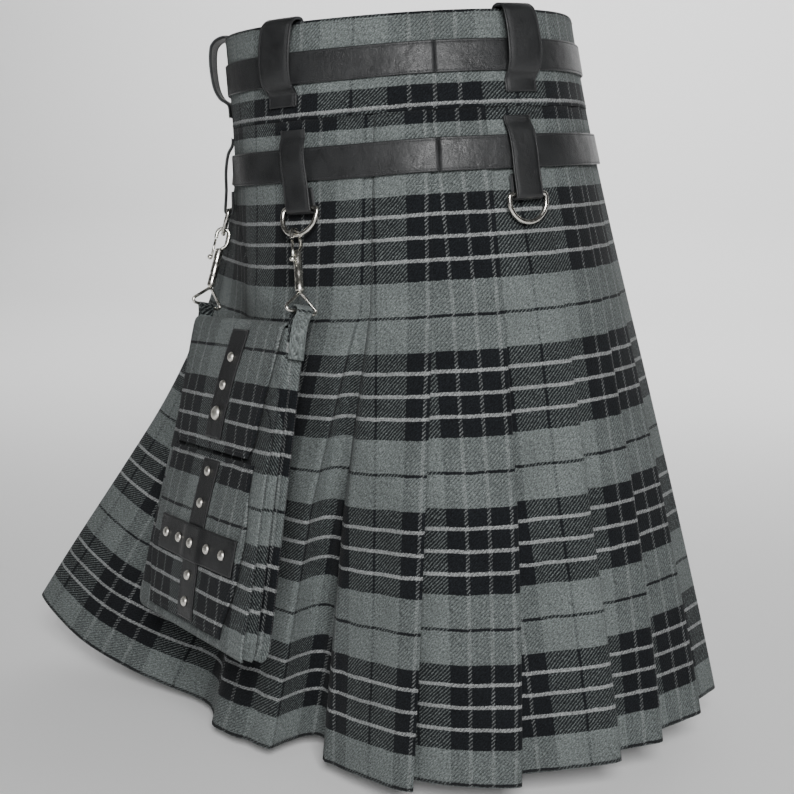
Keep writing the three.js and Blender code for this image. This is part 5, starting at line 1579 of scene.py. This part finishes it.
def pocket_loop_line():
    """The cloth loop's path from the pocket's side round the eye's bar: (down, out)."""
    near = SEAM + POCKET_LOOP["thickness"] / 2
    turn_radius = LOOP_BAR - near
    line = [(POCKET_LOOP["tail"], near), (0, near)]
    for turn in np.radians((0, 35, 70, 110, 145, 180)):
        line.append((-POCKET_LOOP["rise"] - turn_radius * math.sin(turn),
                     LOOP_BAR - turn_radius * math.cos(turn)))
    return line + [(-3, near + 2.6), (POCKET_LOOP["tail"], near + POCKET_LOOP["thickness"] + 0.4)]


def beside_pocket(sign, sideways, down, out):
    halves = np.array([bag_half(max(0.0, d)) for d in down])
    return on_pocket(sign * (halves + out), down, BAG["top_depth"] / 2 + sideways)


for loop, sign, name in ((LOOPS[0], -1, "front"), (LOOPS[1], 1, "rear")):
    centre, side, fall, out = ring_frame(loop)
    top = centre + fall * RING["drop"]
    bottom = on_pocket(sign * (bag_half(0) + LOOP_BAR), -POCKET_LOOP["rise"], BAG["top_depth"] / 2)
    length = float(np.linalg.norm(bottom - top))
    down_way = unit(bottom - top)
    face = unit(out - down_way * np.dot(out, down_way))
    hook_axes = (face, down_way, np.cross(face, down_way))
    bar = unit(POCKET_OUT - down_way * np.dot(POCKET_OUT, down_way))
    eye_axes = (np.cross(down_way, bar), down_way, bar)
    barrel_end = length - EYE["height"] - 3
    metal_piece(f"hook_{name}_jaw_and_barrel",
                [hook_jaw(hook_axes, top), hook_barrel(hook_axes, top, barrel_end)], f"hook_body_{name}")
    metal_piece(f"hook_{name}_gate_and_knob", hook_gate(hook_axes, top), f"hook_gate_{name}")
    metal_piece(f"hook_{name}_swivel_eye", hook_eye(eye_axes, top, length, barrel_end), f"hook_eye_{name}")

    smooth = eased_path(pocket_loop_line(), 5)
    columns = []
    for part in LOOP_PARTS:
        rounding = max(0.0, 1 - (0.5 - abs(part)) / LOOP_ROUNDING["reach"]) ** 2
        drop = LOOP_ROUNDING["drop"] * rounding
        offset = beside_line(smooth, sign * (POCKET_LOOP["thickness"] / 2 - drop))
        sideways = np.full(len(offset), part * POCKET_LOOP["width"])
        columns.append(beside_pocket(sign, sideways, offset[:, 0], offset[:, 1]))
    points = np.stack(columns, axis=1)
    warp = np.repeat(np.linspace(*LOOP_CUT["warp"], len(columns))[None, :], len(smooth), axis=0)
    weft = np.linspace(*LOOP_CUT["weft"], len(smooth))
    cloth_loop = shell_mesh(f"pocket_loop_{name}_cloth", points, warp, weft,
                            POCKET_LOOP["thickness"] - 0.1, CLOTH)
    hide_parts(f"pocket_loop_{name}")
    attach(cloth_loop, "kilt")


# Topstitching of the cloth.
# Rows along the waistband's top and above its lower seam, and down the joined hip over the strap.
SEWN_OUT = 0.2
BAND_SEWN_AT = (4.0, 75.0)
sewn_turns = np.linspace(-APRON_EDGE[0] + 1, 360 - APRON_EDGE[0], 300)
seam_rows = []
for down in BAND_SEWN_AT:
    seam_rows.append(on_form(sewn_turns, np.full(300, down), np.full(300, SEWN_OUT)))
hip_downs = np.linspace(4, 22, 12)
seam_rows.append(on_form(np.full(12, SEAM_AZIMUTH - 0.8), hip_downs, np.full(12, SEWN_OUT)))
stitches("waistband_topstitching", seam_rows, spacing=3.4, length=2.4, radius=0.22)
